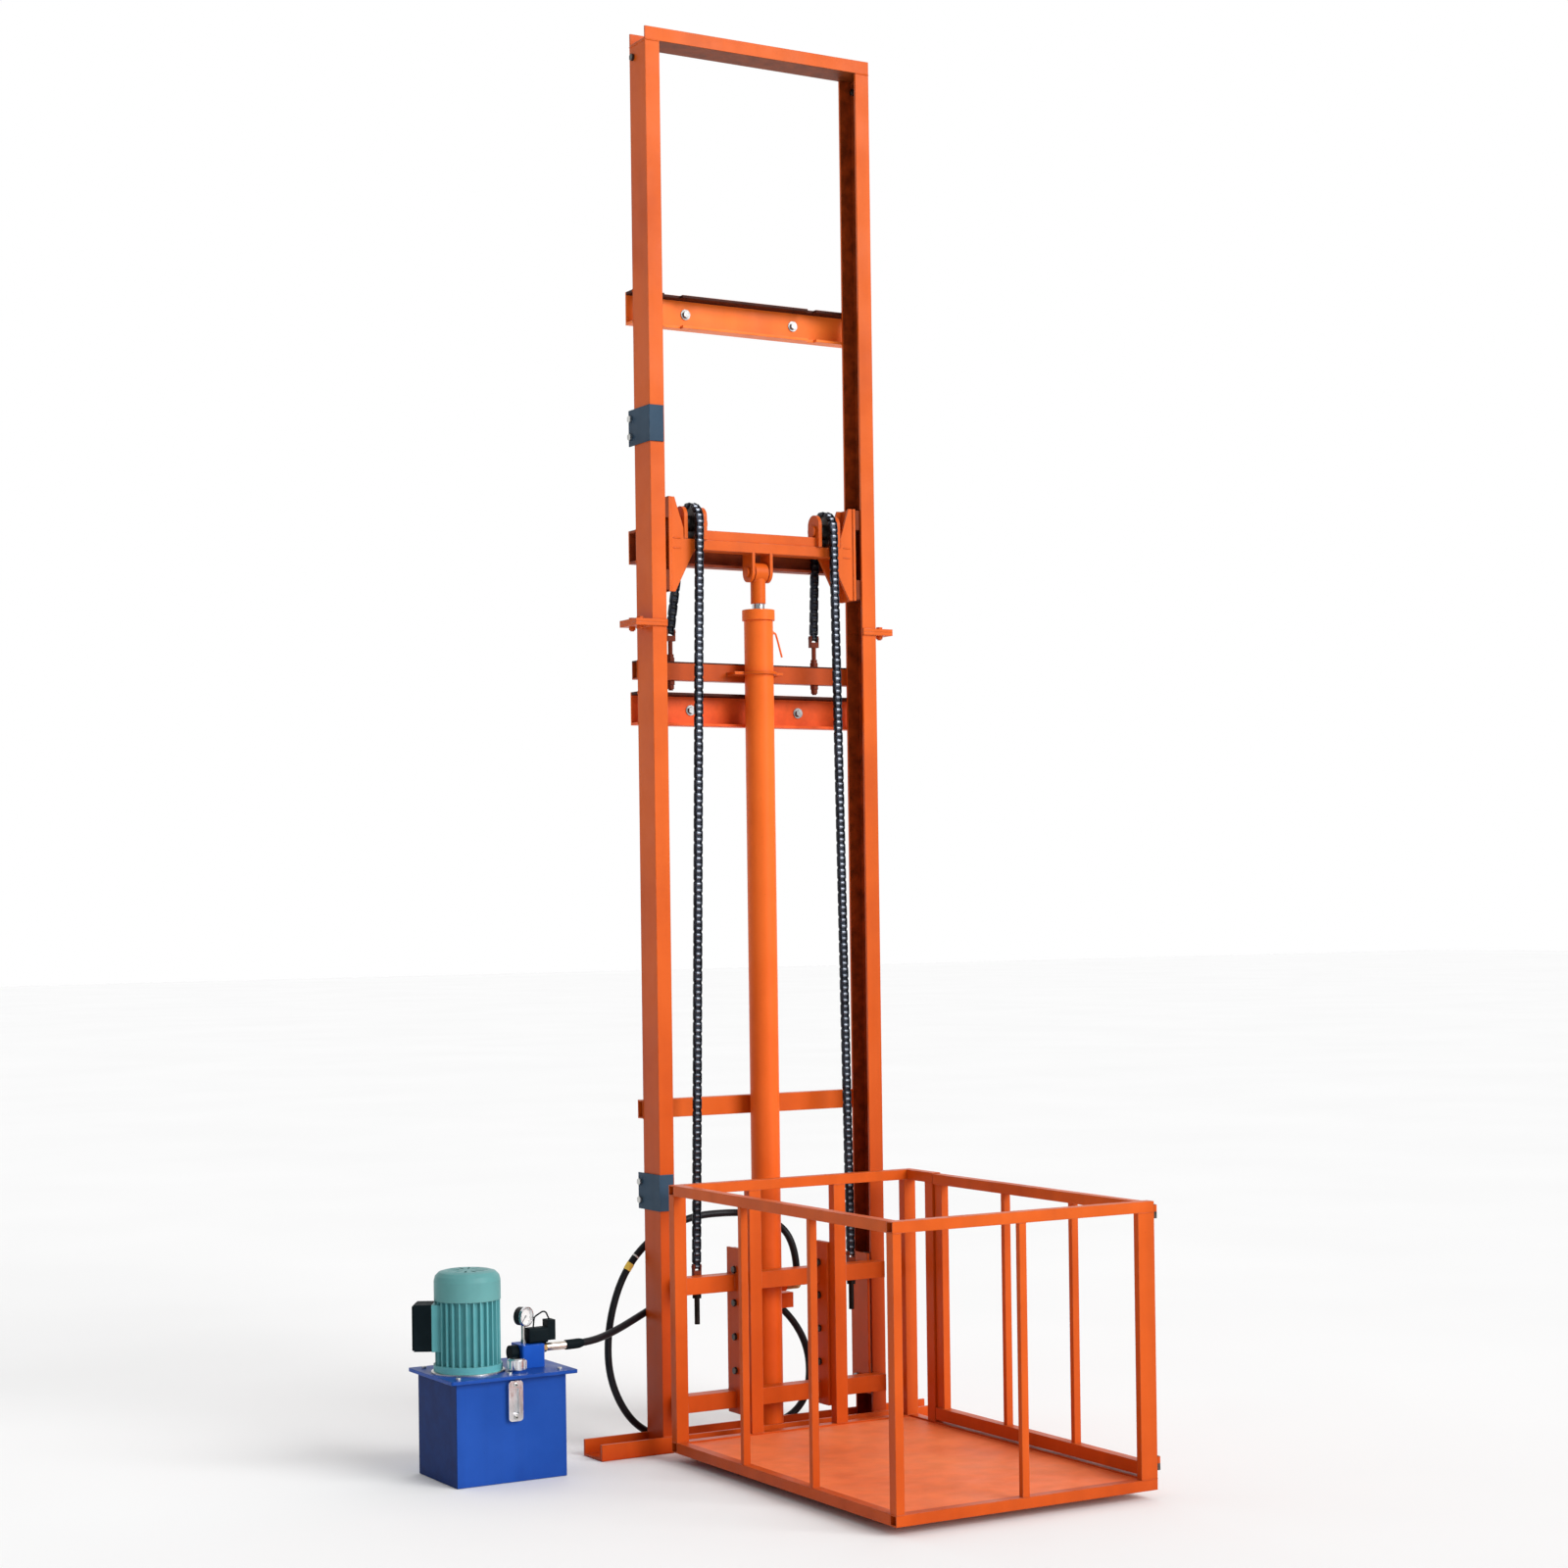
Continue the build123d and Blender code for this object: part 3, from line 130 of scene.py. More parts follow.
# Uprights: x from and to, y from and to
CAGE_POSTS = (
    (-0.420, -0.380, -0.188, -0.158), (-0.167, -0.127, -0.188, -0.158), (0.127, 0.167, -0.188, -0.158),
    (0.380, 0.420, -0.188, -0.158), (-0.420, -0.394, -1.368, -1.338), (0.366, 0.420, -1.368, -1.348),
    (0.390, 0.420, -0.328, -0.287), (-0.420, -0.398, -0.582, -0.566), (-0.420, -0.398, -0.956, -0.940),
    (-0.025, -0.003, -1.368, -1.352),
)
POST_LEVELS = (0.055, 0.775)
GATE_POSTS = (
    (0.396, 0.420, -1.335, -1.313), (0.396, 0.420, -0.369, -0.331),
    (0.398, 0.420, -0.693, -0.677), (0.398, 0.420, -1.023, -1.007),
)
GATE_LEVELS = (0.098, 0.772)
WELD_R = 0.0028
POST_WELD_R = 0.0020
WELD_STEP = 0.005
WELD_END = 0.55
WELD_RIPPLE = (1.0, 0.82)
WELD_SIDES = 6

# Power unit details
GAUGE_AT = (-0.848, -0.060, 0.446)
GAUGE_TURN = radians(25.0)
DIAL_R = 0.0245
DIAL_SIDES = 48
DIAL_DEPTHS = (0.0081, 0.0085)
MARK_DEPTHS = (0.0084, 0.0087)
MARK_STEPS = 40
MARKS_PER_MAIN = 5
MARK_START = 225.0
MARK_SWEEP = 270.0
MARK_END = 0.93
# Where a mark begins, as a share of the dial's radius, and its half width
MAIN_MARK = (0.74, 0.0006)
SMALL_MARK = (0.84, 0.0003)
# Radius and depth of each ring of the gauge's rim
GAUGE_RIM = (
    (0.0249, 0.0080), (0.0284, 0.0076), (0.0287, 0.0150),
    (0.0276, 0.0164), (0.0256, 0.0164), (0.0248, 0.0150),
)
LEVEL_AT = (-0.935, -0.179, 0.230)
# Half width, back, front and half height of the level gauge's ground and tube
LEVEL_GROUND = (0.0088, 0.0005, 0.0020, 0.0355)
LEVEL_TUBE = (0.0055, 0.0020, 0.0050, 0.0340)
# Radius, sides, material number and depth of the screw's head and of its socket
LEVEL_SCREW = ((0.0062, 24, 2, 0.0030), (0.0034, 6, 1, 0.0032))
SCREW_STRAIGHT = 0.75
SCREW_TOP = 0.86
SCREW_OUT = 0.014
SCREW_UP = 0.046
MOTOR_AT = (-1.015, -0.045, 0.302)
# Height and radius of each ring of the spigot
SPIGOT = ((0.0, 0.105), (0.0040, 0.105), (0.0052, 0.1035))
SPIGOT_SIDES = 96

# Studio
DIM_SIDE = 0.30
SKY_LIFT = 0.25
SKY_RANGE = (-0.6, 0.75)
FLOOR_HALF = 60.0
FLOOR_DROP = 0.001
SUN_TOWARDS = (-0.34, 0.80, -0.42)
SUN_STRENGTH = 3.1
SUN_SPREAD = 40.0

# Rounding that each kind of finish shows on its edges
PAINT_EDGE = 0.0034
METAL_EDGE = 0.0008
MOULDED_EDGE = 0.0012

# Hydraulic hose
HOSE_D = 0.022
HOSE_POINTS = [
    (-0.715, -0.060, 0.352), (-0.640, -0.060, 0.352), (-0.520, 0.015, 0.362), (-0.395, 0.066, 0.399),
    (-0.278, 0.070, 0.452), (-0.157, 0.072, 0.472), (0.000, 0.072, 0.440), (0.122, 0.072, 0.357),
    (0.195, 0.074, 0.230), (0.181, 0.074, 0.080), (0.070, 0.076, 0.014), (-0.120, 0.084, 0.013),
    (-0.300, 0.080, 0.014), (-0.420, 0.082, 0.060), (-0.500, 0.085, 0.200), (-0.505, 0.085, 0.360),
    (-0.455, 0.083, 0.520), (-0.360, 0.079, 0.625), (-0.227, 0.076, 0.680), (-0.095, 0.074, 0.684),
    (0.020, 0.066, 0.674), (0.105, 0.000, 0.600), (0.105, 0.000, 0.478),
]
BAND_NEAR = (-0.442, 0.082, 0.549)
MARK_NEAR = (-0.415, 0.081, 0.580)
BAND_R = 0.0117
MARK_R = 0.0114
MARK_SHARE = 0.45
BOOT_RADII = (0.0142, 0.0145, 0.0145, 0.0145, 0.0142, 0.0118)
UPRIGHT_LIMIT = 0.2

# Regions of parts that have a second finish, painted shade or painted light, in metres at rest
COLUMN_CAVITY_SHADE = {"x": (0.0, 0.3868), "y": (-0.0422, 0.0422)}
WALL_INSIDE = (0.049, 0.0930)
CROSSHEAD_SHADOW_BAND = (2.60, 2.80)
LOWER_CHANNEL = (2.10, 2.30)
CHANNEL_LIPS = (2.267, 3.474)
LIP_SHADE = (0.0095, 0.0003)
ANCHOR_LIP = (2.3555, 2.3597)
TOP_UNDERSIDE_SHADE = (0.0, 4.2010)
TANK_SIDE_SHADE = (1.1110, 1.1130)
FRONT_CHAIN_ENDS = (0.0, 0.500)
BARE_ROD = (0.0, 2.540)
LOW_BOLTS = (0.0, 2.30)
MIDDLE_BOLTS = (2.70, 3.60)
STOP_BOLTS = (3.60, 5.0)
UNIT_FITTING = (0.60, 0.7772)
GAUGE_STEM = (0.0, 0.4192)


# Node helpers for materials
def new_material(name, colour, rough, metal=0.0, **sockets):
    material = bpy.data.materials.new(name)
    material.use_nodes = True
    shader = material.node_tree.nodes["Principled BSDF"]
    shader.inputs["Base Color"].default_value = (*colour, 1)
    shader.inputs["Roughness"].default_value = rough
    shader.inputs["Metallic"].default_value = metal
    for socket, value in sockets.items():
        shader.inputs[socket.replace("_", " ")].default_value = value
    return material, material.node_tree, shader


def add(tree, kind, **values):
    node = tree.nodes.new(kind)
    for key, value in values.items():
        setattr(node, key, value)
    return node


def noise(tree, scale, detail=4.0, rough=0.55, stretch=(1, 1, 1)):
    place = add(tree, "ShaderNodeTexCoord")
    mapping = add(tree, "ShaderNodeMapping")
    mapping.inputs["Scale"].default_value = stretch
    texture = add(tree, "ShaderNodeTexNoise")
    texture.inputs["Scale"].default_value = scale
    texture.inputs["Detail"].default_value = detail
    texture.inputs["Roughness"].default_value = rough
    tree.links.new(place.outputs["Object"], mapping.inputs["Vector"])
    tree.links.new(mapping.outputs["Vector"], texture.inputs["Vector"])
    return texture.outputs["Fac"]


def ramp(tree, factor, stops):
    node = add(tree, "ShaderNodeValToRGB")
    points = node.color_ramp.elements
    while len(points) < len(stops):
        points.new(0.5)
    for point, (at, colour) in zip(points, stops):
        point.position = at
        point.color = (*colour, 1) if len(colour) == 3 else colour
    tree.links.new(factor, node.inputs["Fac"])
    return node.outputs["Color"]


def grey(value):
    return (value, value, value)


def mix(tree, factor, a, b, kind="MIX"):
    node = add(tree, "ShaderNodeMix", data_type="RGBA", blend_type=kind)
    colour_in = [s for s in node.inputs if s.type == "RGBA"]
    for socket, value in zip(colour_in, (a, b)):
        if isinstance(value, tuple):
            socket.default_value = (*value, 1)
        else:
            tree.links.new(value, socket)
    if isinstance(factor, float):
        node.inputs[0].default_value = factor
    else:
        tree.links.new(factor, node.inputs[0])
    return [s for s in node.outputs if s.type == "RGBA"][0]


def rounded_normal(tree, radius):
    rounded = add(tree, "ShaderNodeBevel", samples=4)
    rounded.inputs["Radius"].default_value = radius
    return rounded.outputs["Normal"]


def bump(tree, shader, height, strength, distance, normal=None):
    node = add(tree, "ShaderNodeBump")
    node.inputs["Strength"].default_value = strength
    node.inputs["Distance"].default_value = distance
    tree.links.new(height, node.inputs["Height"])
    if normal:
        tree.links.new(normal, node.inputs["Normal"])
    tree.links.new(node.outputs["Normal"], shader.inputs["Normal"])


def edge_mask(tree, normal):
    """White along sharp edges: where a rounded normal leaves the face's own."""
    face = add(tree, "ShaderNodeNewGeometry")
    dot = add(tree, "ShaderNodeVectorMath", operation="DOT_PRODUCT")
    tree.links.new(normal, dot.inputs[0])
    tree.links.new(face.outputs["Normal"], dot.inputs[1])
    return ramp(tree, dot.outputs["Value"], [(0.80, grey(1.0)), (0.97, grey(0.0))])


def within(tree, x=None, y=None, z=None):
    """White inside a box of the part's own space; the x limits hold on both sides of the middle."""
    place = add(tree, "ShaderNodeTexCoord")
    split = add(tree, "ShaderNodeSeparateXYZ")
    tree.links.new(place.outputs["Object"], split.inputs[0])
    mask = None
    for axis, limits in zip("XYZ", (x, y, z)):
        if limits is None:
            continue
        value = split.outputs[axis]
        if axis == "X":
            size = add(tree, "ShaderNodeMath", operation="ABSOLUTE")
            tree.links.new(value, size.inputs[0])
            value = size.outputs[0]
        for operation, limit in zip(("GREATER_THAN", "LESS_THAN"), limits):
            test = add(tree, "ShaderNodeMath", operation=operation)
            tree.links.new(value, test.inputs[0])
            test.inputs[1].default_value = limit
            if mask is None:
                mask = test.outputs[0]
            else:
                both = add(tree, "ShaderNodeMath", operation="MULTIPLY")
                tree.links.new(mask, both.inputs[0])
                tree.links.new(test.outputs[0], both.inputs[1])
                mask = both.outputs[0]
    return mask


def finish_and_shade_inside(material, colour, dark, rough, metal=0.0, **limits):
    """Second colour for one region of a part, with its own stain-like mottling; used for real second finishes
    and for painted shade.
    """
    tree = material.node_tree
    shader = tree.nodes["Principled BSDF"]
    mask = within(tree, **limits)
    tone_change = ramp(tree, noise(tree, 24.0, 5.0, 0.6), [(0.32, dark), (0.62, colour)])
    for name, value in (("Base Color", tone_change), ("Roughness", grey(rough)), ("Metallic", grey(metal))):
        socket = shader.inputs[name]
        before = socket.links[0].from_socket if socket.is_linked else grey(socket.default_value)
        tree.links.new(mix(tree, mask, before, value), socket)


def painted_shade_low(material, top, tone):
    """Painted shade: a deeper tone towards the floor, from nothing at a height."""
    tree = material.node_tree
    shader = tree.nodes["Principled BSDF"]
    place = add(tree, "ShaderNodeTexCoord")
    split = add(tree, "ShaderNodeSeparateXYZ")
    tree.links.new(place.outputs["Object"], split.inputs[0])
    height = add(tree, "ShaderNodeMapRange")
    height.inputs["From Max"].default_value = top
    tree.links.new(split.outputs["Z"], height.inputs["Value"])
    tone_change = ramp(tree, height.outputs["Result"], [(0.0, tone), (1.0, grey(1.0))])
    before = shader.inputs["Base Color"].links[0].from_socket
    tree.links.new(mix(tree, 1.0, before, tone_change, "MULTIPLY"), shader.inputs["Base Color"])


# Materials
def paint(name, colour, deep, pale, rough=0.36, wear_and_highlight=0.35):
    """Sprayed enamel: slow tone changes, runs, orange peel and thin paler edges, partly rubbed wear and
    partly painted highlight.
    """
    material, tree, shader = new_material(name, colour, rough, Specular_IOR_Level=0.12)
    slow = noise(tree, 2.3, 5.0, 0.6)
    tone = ramp(tree, slow, [(0.30, deep), (0.52, colour), (0.74, pale)])
    streak = noise(tree, 14.0, 3.0, 0.5, stretch=(1, 1, 0.06))
    streaks = ramp(tree, streak, [(0.35, grey(0.90)), (0.60, grey(1.0))])
    body = mix(tree, 1.0, tone, streaks, "MULTIPLY")
    speck = noise(tree, 160.0, 2.0, 0.6)
    specks = ramp(tree, speck, [(0.24, grey(0.72)), (0.33, grey(1.0))])
    body = mix(tree, 0.5, body, specks, "MULTIPLY")
    rounded = rounded_normal(tree, PAINT_EDGE)
    # Paler edges: partly rubbed wear, partly a painted highlight along the edges
    edges = edge_mask(tree, rounded)
    broken = ramp(tree, noise(tree, 30.0, 4.0, 0.6), [(0.42, grey(0.0)), (0.62, grey(wear_and_highlight))])
    rubbed_and_highlit = mix(tree, 1.0, edges, broken, "MULTIPLY")
    worn_and_highlit = tuple(min(1.0, 0.55 * c + 0.30) for c in pale)
    tree.links.new(mix(tree, rubbed_and_highlit, body, worn_and_highlit), shader.inputs["Base Color"])
    gloss = ramp(tree, noise(tree, 9.0, 4.0), [(0.3, grey(rough - 0.06)), (0.7, grey(rough + 0.10))])
    tree.links.new(gloss, shader.inputs["Roughness"])
    bump(tree, shader, noise(tree, 420.0, 2.0, 0.4), 0.10, 0.0006, rounded)
    return material


def metal(name, colour, dark, rough, grain=260.0, stretch=(1, 1, 1)):
    """Bare or plated steel: fine grain and faint stains."""
    material, tree, shader = new_material(name, colour, rough, metal=1.0)
    tone_change = ramp(tree, noise(tree, 24.0, 5.0, 0.6), [(0.32, dark), (0.60, colour)])
    tree.links.new(tone_change, shader.inputs["Base Color"])
    fine = noise(tree, grain, 3.0, 0.6, stretch)
    gloss = ramp(tree, fine, [(0.3, grey(max(0.03, rough - 0.08))), (0.7, grey(rough + 0.12))])
    tree.links.new(gloss, shader.inputs["Roughness"])
    bump(tree, shader, fine, 0.06, 0.0004, rounded_normal(tree, METAL_EDGE))
    return material


def moulded(name, colour, pale, rough, grain=500.0, strength=0.15, shine=0.20):
    """Moulded plastic or rubber: fine skin, slight greying."""
    material, tree, shader = new_material(name, colour, rough, Specular_IOR_Level=shine)
    tone = ramp(tree, noise(tree, 12.0, 5.0, 0.6), [(0.35, colour), (0.75, pale)])
    tree.links.new(tone, shader.inputs["Base Color"])
    gloss = ramp(tree, noise(tree, 40.0, 3.0), [(0.3, grey(rough - 0.07)), (0.7, grey(rough + 0.10))])
    tree.links.new(gloss, shader.inputs["Roughness"])
    bump(tree, shader, noise(tree, grain, 2.0, 0.5), strength, 0.0005, rounded_normal(tree, MOULDED_EDGE))
    return material


def glass(name):
    material, tree, shader = new_material(name, (0.90, 0.93, 0.94), 0.03, Alpha=0.14)
    smear = ramp(tree, noise(tree, 60.0, 3.0), [(0.4, grey(0.02)), (0.8, grey(0.10))])
    tree.links.new(smear, shader.inputs["Roughness"])
    return material


ORANGE_TONES = ((0.64, 0.104, 0.009), (0.54, 0.078, 0.006), (0.70, 0.124, 0.013))
TUBE_TONES = ((0.84, 0.150, 0.020), (0.72, 0.116, 0.014), (0.90, 0.176, 0.028))
GRIMY_TONES = ((0.180, 0.030, 0.010), (0.090, 0.016, 0.007), (0.290, 0.052, 0.014))
FLOOR_TONES = ((0.88, 0.195, 0.060), (0.76, 0.145, 0.040), (0.93, 0.240, 0.082))
ZINC_TONES = ((0.66, 0.66, 0.64), (0.42, 0.42, 0.40))
CHROME_TONES = ((0.80, 0.81, 0.83), (0.62, 0.63, 0.65))
BLACKENED_TONES = ((0.10, 0.095, 0.09), (0.05, 0.045, 0.04))
SHADE_TONES = ((0.060, 0.014, 0.008), (0.030, 0.009, 0.006))
ORANGE = paint("orange_enamel", *ORANGE_TONES)
# Wall channels: a paler, brighter copy of the orange as painted light
WALL_LIT_TONES = ((0.95, 0.195, 0.025), (0.83, 0.155, 0.018), (0.97, 0.220, 0.033))
WALL = paint("orange_wall_lit", *WALL_LIT_TONES)
ANCHOR = paint("orange_anchor", (0.46, 0.066, 0.008), (0.37, 0.048, 0.006), (0.54, 0.084, 0.012))
# Top beam: own copy of the orange, for the painted shade on its underside
TOP = paint("orange_top", *ORANGE_TONES)
TUBE = paint("orange_cylinder", *TUBE_TONES)
COLUMN = paint("orange_column", *ORANGE_TONES)
BASE_ORANGE = paint("orange_base", *ORANGE_TONES)
CHAIN_END = paint("orange_chain_end", *GRIMY_TONES, 0.48)
ROD = paint("orange_ram", *ORANGE_TONES)
MAST_BOLT = paint("orange_bolts", *ORANGE_TONES)
FLOOR_ORANGE = paint("orange_floor", *FLOOR_TONES, 0.50, 0.5)
BROWN = paint("grimy_orange", *GRIMY_TONES, 0.48)
BLUE_TONES = ((0.008, 0.060, 0.320), (0.006, 0.042, 0.250), (0.013, 0.076, 0.380))
BLUE = paint("tank_blue", *BLUE_TONES, 0.38)
# Tank shell: own copy of the blue, for the painted shade on its left side
TANK = paint("tank_shell_blue", *BLUE_TONES, 0.38)
BLOCK_BLUE = paint("block_blue", (0.006, 0.085, 0.480), (0.004, 0.062, 0.390), (0.010, 0.105, 0.560), 0.36)
TEAL = paint("motor_teal", (0.108, 0.370, 0.395), (0.078, 0.290, 0.310), (0.142, 0.440, 0.465), 0.42)
PALE_TEAL = paint("cowl_teal", (0.110, 0.300, 0.302), (0.088, 0.250, 0.252), (0.140, 0.350, 0.352), 0.40)
SLATE = paint("bracket_slate", (0.026, 0.058, 0.098), (0.016, 0.036, 0.066), (0.046, 0.088, 0.140), 0.45)
ZINC = metal("zinc_plate", *ZINC_TONES, 0.30)
STEEL = metal("machined_steel", (0.42, 0.42, 0.43), (0.22, 0.21, 0.20), 0.34)
CHROME = metal("hard_chrome", *CHROME_TONES, 0.10, 400.0, (1, 1, 0.1))
GALVANISED = metal("galvanised_bolt", (0.34, 0.34, 0.34), (0.17, 0.17, 0.17), 0.42)
FITTING = metal("yellow_passivated", (0.62, 0.46, 0.22), (0.42, 0.28, 0.12), 0.30)
ALLOY = metal("cast_alloy", (0.52, 0.53, 0.54), (0.36, 0.36, 0.37), 0.46, 120.0)
PLATE = metal("oiled_chain_plate", (0.026, 0.030, 0.040), (0.012, 0.013, 0.017), 0.40)
ROLLER = metal("bright_roller", (0.30, 0.33, 0.38), (0.19, 0.21, 0.25), 0.42)
# Rear strands' rollers: a darker copy of the rollers as painted shade
SHADED_ROLLER = metal("shaded_roller", (0.040, 0.042, 0.044), (0.020, 0.021, 0.022), 0.45)
BLACK = moulded("black_plastic", (0.002, 0.006, 0.008), (0.005, 0.011, 0.014), 0.60, shine=0.07)
DARK_BOLT = metal("blackened_bolt", *BLACKENED_TONES, 0.40)
RUBBER = moulded("hose_rubber", (0.005, 0.006, 0.008), (0.013, 0.014, 0.017), 0.36, 300.0, 0.2)
YELLOW = moulded("yellow_band", (0.86, 0.56, 0.06), (0.92, 0.66, 0.14), 0.45)
WHITE = moulded("white_mark", (0.78, 0.78, 0.76), (0.66, 0.66, 0.63), 0.50)
# Slide shoes: dark brown nylon
NYLON = moulded("dark_brown_nylon", (0.160, 0.030, 0.010), (0.240, 0.044, 0.012), 0.75)
DIAL = moulded("dial_white", (0.84, 0.84, 0.82), (0.78, 0.78, 0.75), 0.50, 300.0, 0.04)
INK = moulded("dial_ink", (0.012, 0.012, 0.012), (0.03, 0.03, 0.03), 0.55, 300.0, 0.04)
NEEDLE = moulded("needle_black", (0.015, 0.015, 0.016), (0.04, 0.04, 0.04), 0.40)
GAUGE = moulded("gauge_case", (0.010, 0.010, 0.011), (0.024, 0.024, 0.026), 0.40)
GLASS = glass("clear_glass")


def finish_and_shade_regions():
    """Second colours: painted shade in the columns' hollows, under lips, under the top beam and on the tank's
    side, a painted shadow of the crosshead, less painted light on the lower wall channel, painted shade
    towards the floor, and bare and plated metal.
    """
    # Painted shade inside the columns' channels
    finish_and_shade_inside(COLUMN, (0.380, 0.058, 0.008), (0.170, 0.027, 0.005), 0.55, **COLUMN_CAVITY_SHADE)
    # Painted shadow of the crosshead on the middle wall channel
    finish_and_shade_inside(WALL, (0.300, 0.048, 0.012), (0.190, 0.029, 0.009), 0.50, y=WALL_INSIDE, z=CROSSHEAD_SHADOW_BAND)
    # Lower wall channel: less of the wall channels' painted light
    finish_and_shade_inside(WALL, (0.840, 0.110, 0.021), (0.690, 0.083, 0.015), 0.42, y=WALL_INSIDE, z=LOWER_CHANNEL)
    # Painted shade just under the top lips of the wall channels
    for lip in CHANNEL_LIPS:
        shade = (lip - LIP_SHADE[0], lip - LIP_SHADE[1])
        finish_and_shade_inside(WALL, *SHADE_TONES, 0.55, y=WALL_INSIDE, z=shade)
    # Painted shade under the anchor section's lip
    finish_and_shade_inside(ANCHOR, *SHADE_TONES, 0.55, z=ANCHOR_LIP)
    # Painted shade on the top beam's underside
    finish_and_shade_inside(TOP, (0.230, 0.046, 0.008), (0.150, 0.030, 0.006), 0.50, z=TOP_UNDERSIDE_SHADE)
    # Painted shade on the tank's left side
    finish_and_shade_inside(TANK, (0.003, 0.026, 0.140), (0.002, 0.018, 0.105), 0.60, x=TANK_SIDE_SHADE)
    # Painted shade: darker towards the floor on columns, base, orange parts, cylinder and rollers
    painted_shade_low(COLUMN, 1.8, (0.68, 0.44, 0.30))
    painted_shade_low(BASE_ORANGE, 0.12, (0.82, 0.52, 0.36))
    painted_shade_low(ORANGE, 1.2, (0.84, 0.70, 0.60))
    painted_shade_low(TUBE, 2.0, (0.82, 0.62, 0.50))
    painted_shade_low(ROLLER, 2.0, grey(0.12))
    finish_and_shade_inside(CHAIN_END, (0.030, 0.028, 0.027), (0.014, 0.013, 0.012), 0.45, 1.0, z=FRONT_CHAIN_ENDS)
    finish_and_shade_inside(ROD, *CHROME_TONES, 0.10, 1.0, z=BARE_ROD)
    finish_and_shade_inside(MAST_BOLT, *ZINC_TONES, 0.30, 1.0, z=LOW_BOLTS)
    finish_and_shade_inside(MAST_BOLT, *ZINC_TONES, 0.30, 1.0, z=MIDDLE_BOLTS)
    finish_and_shade_inside(MAST_BOLT, *BLACKENED_TONES, 0.40, 1.0, z=STOP_BOLTS)
    finish_and_shade_inside(FITTING, (0.78, 0.74, 0.66), (0.56, 0.52, 0.46), 0.30, 1.0, x=UNIT_FITTING)
    finish_and_shade_inside(GAUGE, *ZINC_TONES, 0.26, 1.0, z=GAUGE_STEM)


NODE_MATERIALS = {
    "base_beam": BASE_ORANGE, "columns_lower": COLUMN, "columns_upper": COLUMN, "top_beam": TOP,
    "wall_channels": WALL, "anchor_section": ANCHOR, "tie_bar": ORANGE, "cylinder_tube": TUBE,
    "cylinder_gland": TUBE, "cylinder_clamp": ORANGE, "crosshead_frame": ORANGE, "sheave_pins": ORANGE,
    "clevis_pin": ORANGE, "rear_chain_anchors": BROWN, "front_chain_anchors": CHAIN_END,
    "carriage_rails": ORANGE, "carriage_plates": ORANGE, "roller_brackets": ORANGE,
    "cage_cross_rails": ORANGE, "cage_side_rails": ORANGE,
    "cage_posts": ORANGE, "cage_bars": ORANGE, "gate_frame": ORANGE, "cage_floor": FLOOR_ORANGE,
    "gate_hinges": DARK_BOLT, "mast_bolts": MAST_BOLT, "wall_bolts": GALVANISED, "carriage_bolts": DARK_BOLT,
    "roller_axles": STEEL, "roller_upper_left": STEEL, "roller_upper_right": STEEL,
    "roller_lower_left": STEEL, "roller_lower_right": STEEL, "left_sheave": DARK_BOLT,
    "right_sheave": DARK_BOLT, "slide_shoes": NYLON,
    "limit_brackets": SLATE, "ram": ROD, "hose_fittings": FITTING, "tank": TANK, "tank_cover": BLUE,
    "valve_block": BLOCK_BLUE, "cover_screws": ZINC, "motor_housing": TEAL, "fan_cowl": PALE_TEAL,
    "terminal_box": BLACK, "solenoid_valve": BLACK, "pressure_gauge": GAUGE, "gauge_needle": NEEDLE,
    "filler_cap": CHROME, "level_gauge": CHROME, "sight_glasses": GLASS, "motor_rotor": STEEL,
    "pump_idle_gear": STEEL, "pump_body": ALLOY, "suction_strainer": ZINC,
}


def dress_cad():
    """Finish of every piece that is shown as the CAD model has it."""
    finish_and_shade_regions()
    for name, material in NODE_MATERIALS.items():
        for slot in nodes[name].material_slots:
            slot.material = material


# Meshes
def mesh_object(name, points, faces, materials, face_materials=None, smooth=40.0):
    mesh = bpy.data.meshes.new(name)
    mesh.from_pydata(points, [], faces)
    for material in materials:
        mesh.materials.append(material)
    if face_materials:
        mesh.polygons.foreach_set("material_index", face_materials)
    mesh.shade_smooth()
    mesh.set_sharp_from_angle(angle=radians(smooth))
    mesh.validate()
    obj = bpy.data.objects.new(name, mesh)
    bpy.context.scene.collection.objects.link(obj)
    return obj


class Shape:
    """Points and faces collected for one mesh, with a material number for each face."""

    def __init__(self):
        self.points = []
        self.faces = []
        self.kinds = []

    def rings(self, rings, kind=0, closed=False):
        """Skin through rings of equally many points, capped at both ends or closed on itself."""
        first = len(self.points)
        count = len(rings[0])
        for ring in rings:
            self.points.extend(ring)
        for r in range(len(rings) if closed else len(rings) - 1):
            a = first + r * count
            b = first + (r + 1) % len(rings) * count
            for i in range(count):
                j = (i + 1) % count
                self.faces.append((a + i, a + j, b + j, b + i))
                self.kinds.append(kind)
        if not closed:
            last = first + (len(rings) - 1) * count
            self.faces.append(tuple(first + i for i in reversed(range(count))))
            self.faces.append(tuple(last + i for i in range(count)))
            self.kinds.extend((kind, kind))

    def to_object(self, name, materials, smooth=40.0):
        return mesh_object(name, self.points, self.faces, materials, self.kinds, smooth)


def plate_outline(half_height, past, shrink=0.0):
    """Straight-sided link plate with rounded corners."""
    long = PITCH / 2 + past - shrink - PLATE_CORNER
    tall = half_height - shrink - PLATE_CORNER
    points = []
    for quarter, (u, v) in enumerate(((long, tall), (-long, tall), (-long, -tall), (long, -tall))):
        for turn in (0, 30, 60, 90):
            a = radians(90 * quarter + turn)
            points.append((u + PLATE_CORNER * cos(a), v + PLATE_CORNER * sin(a)))
    return points


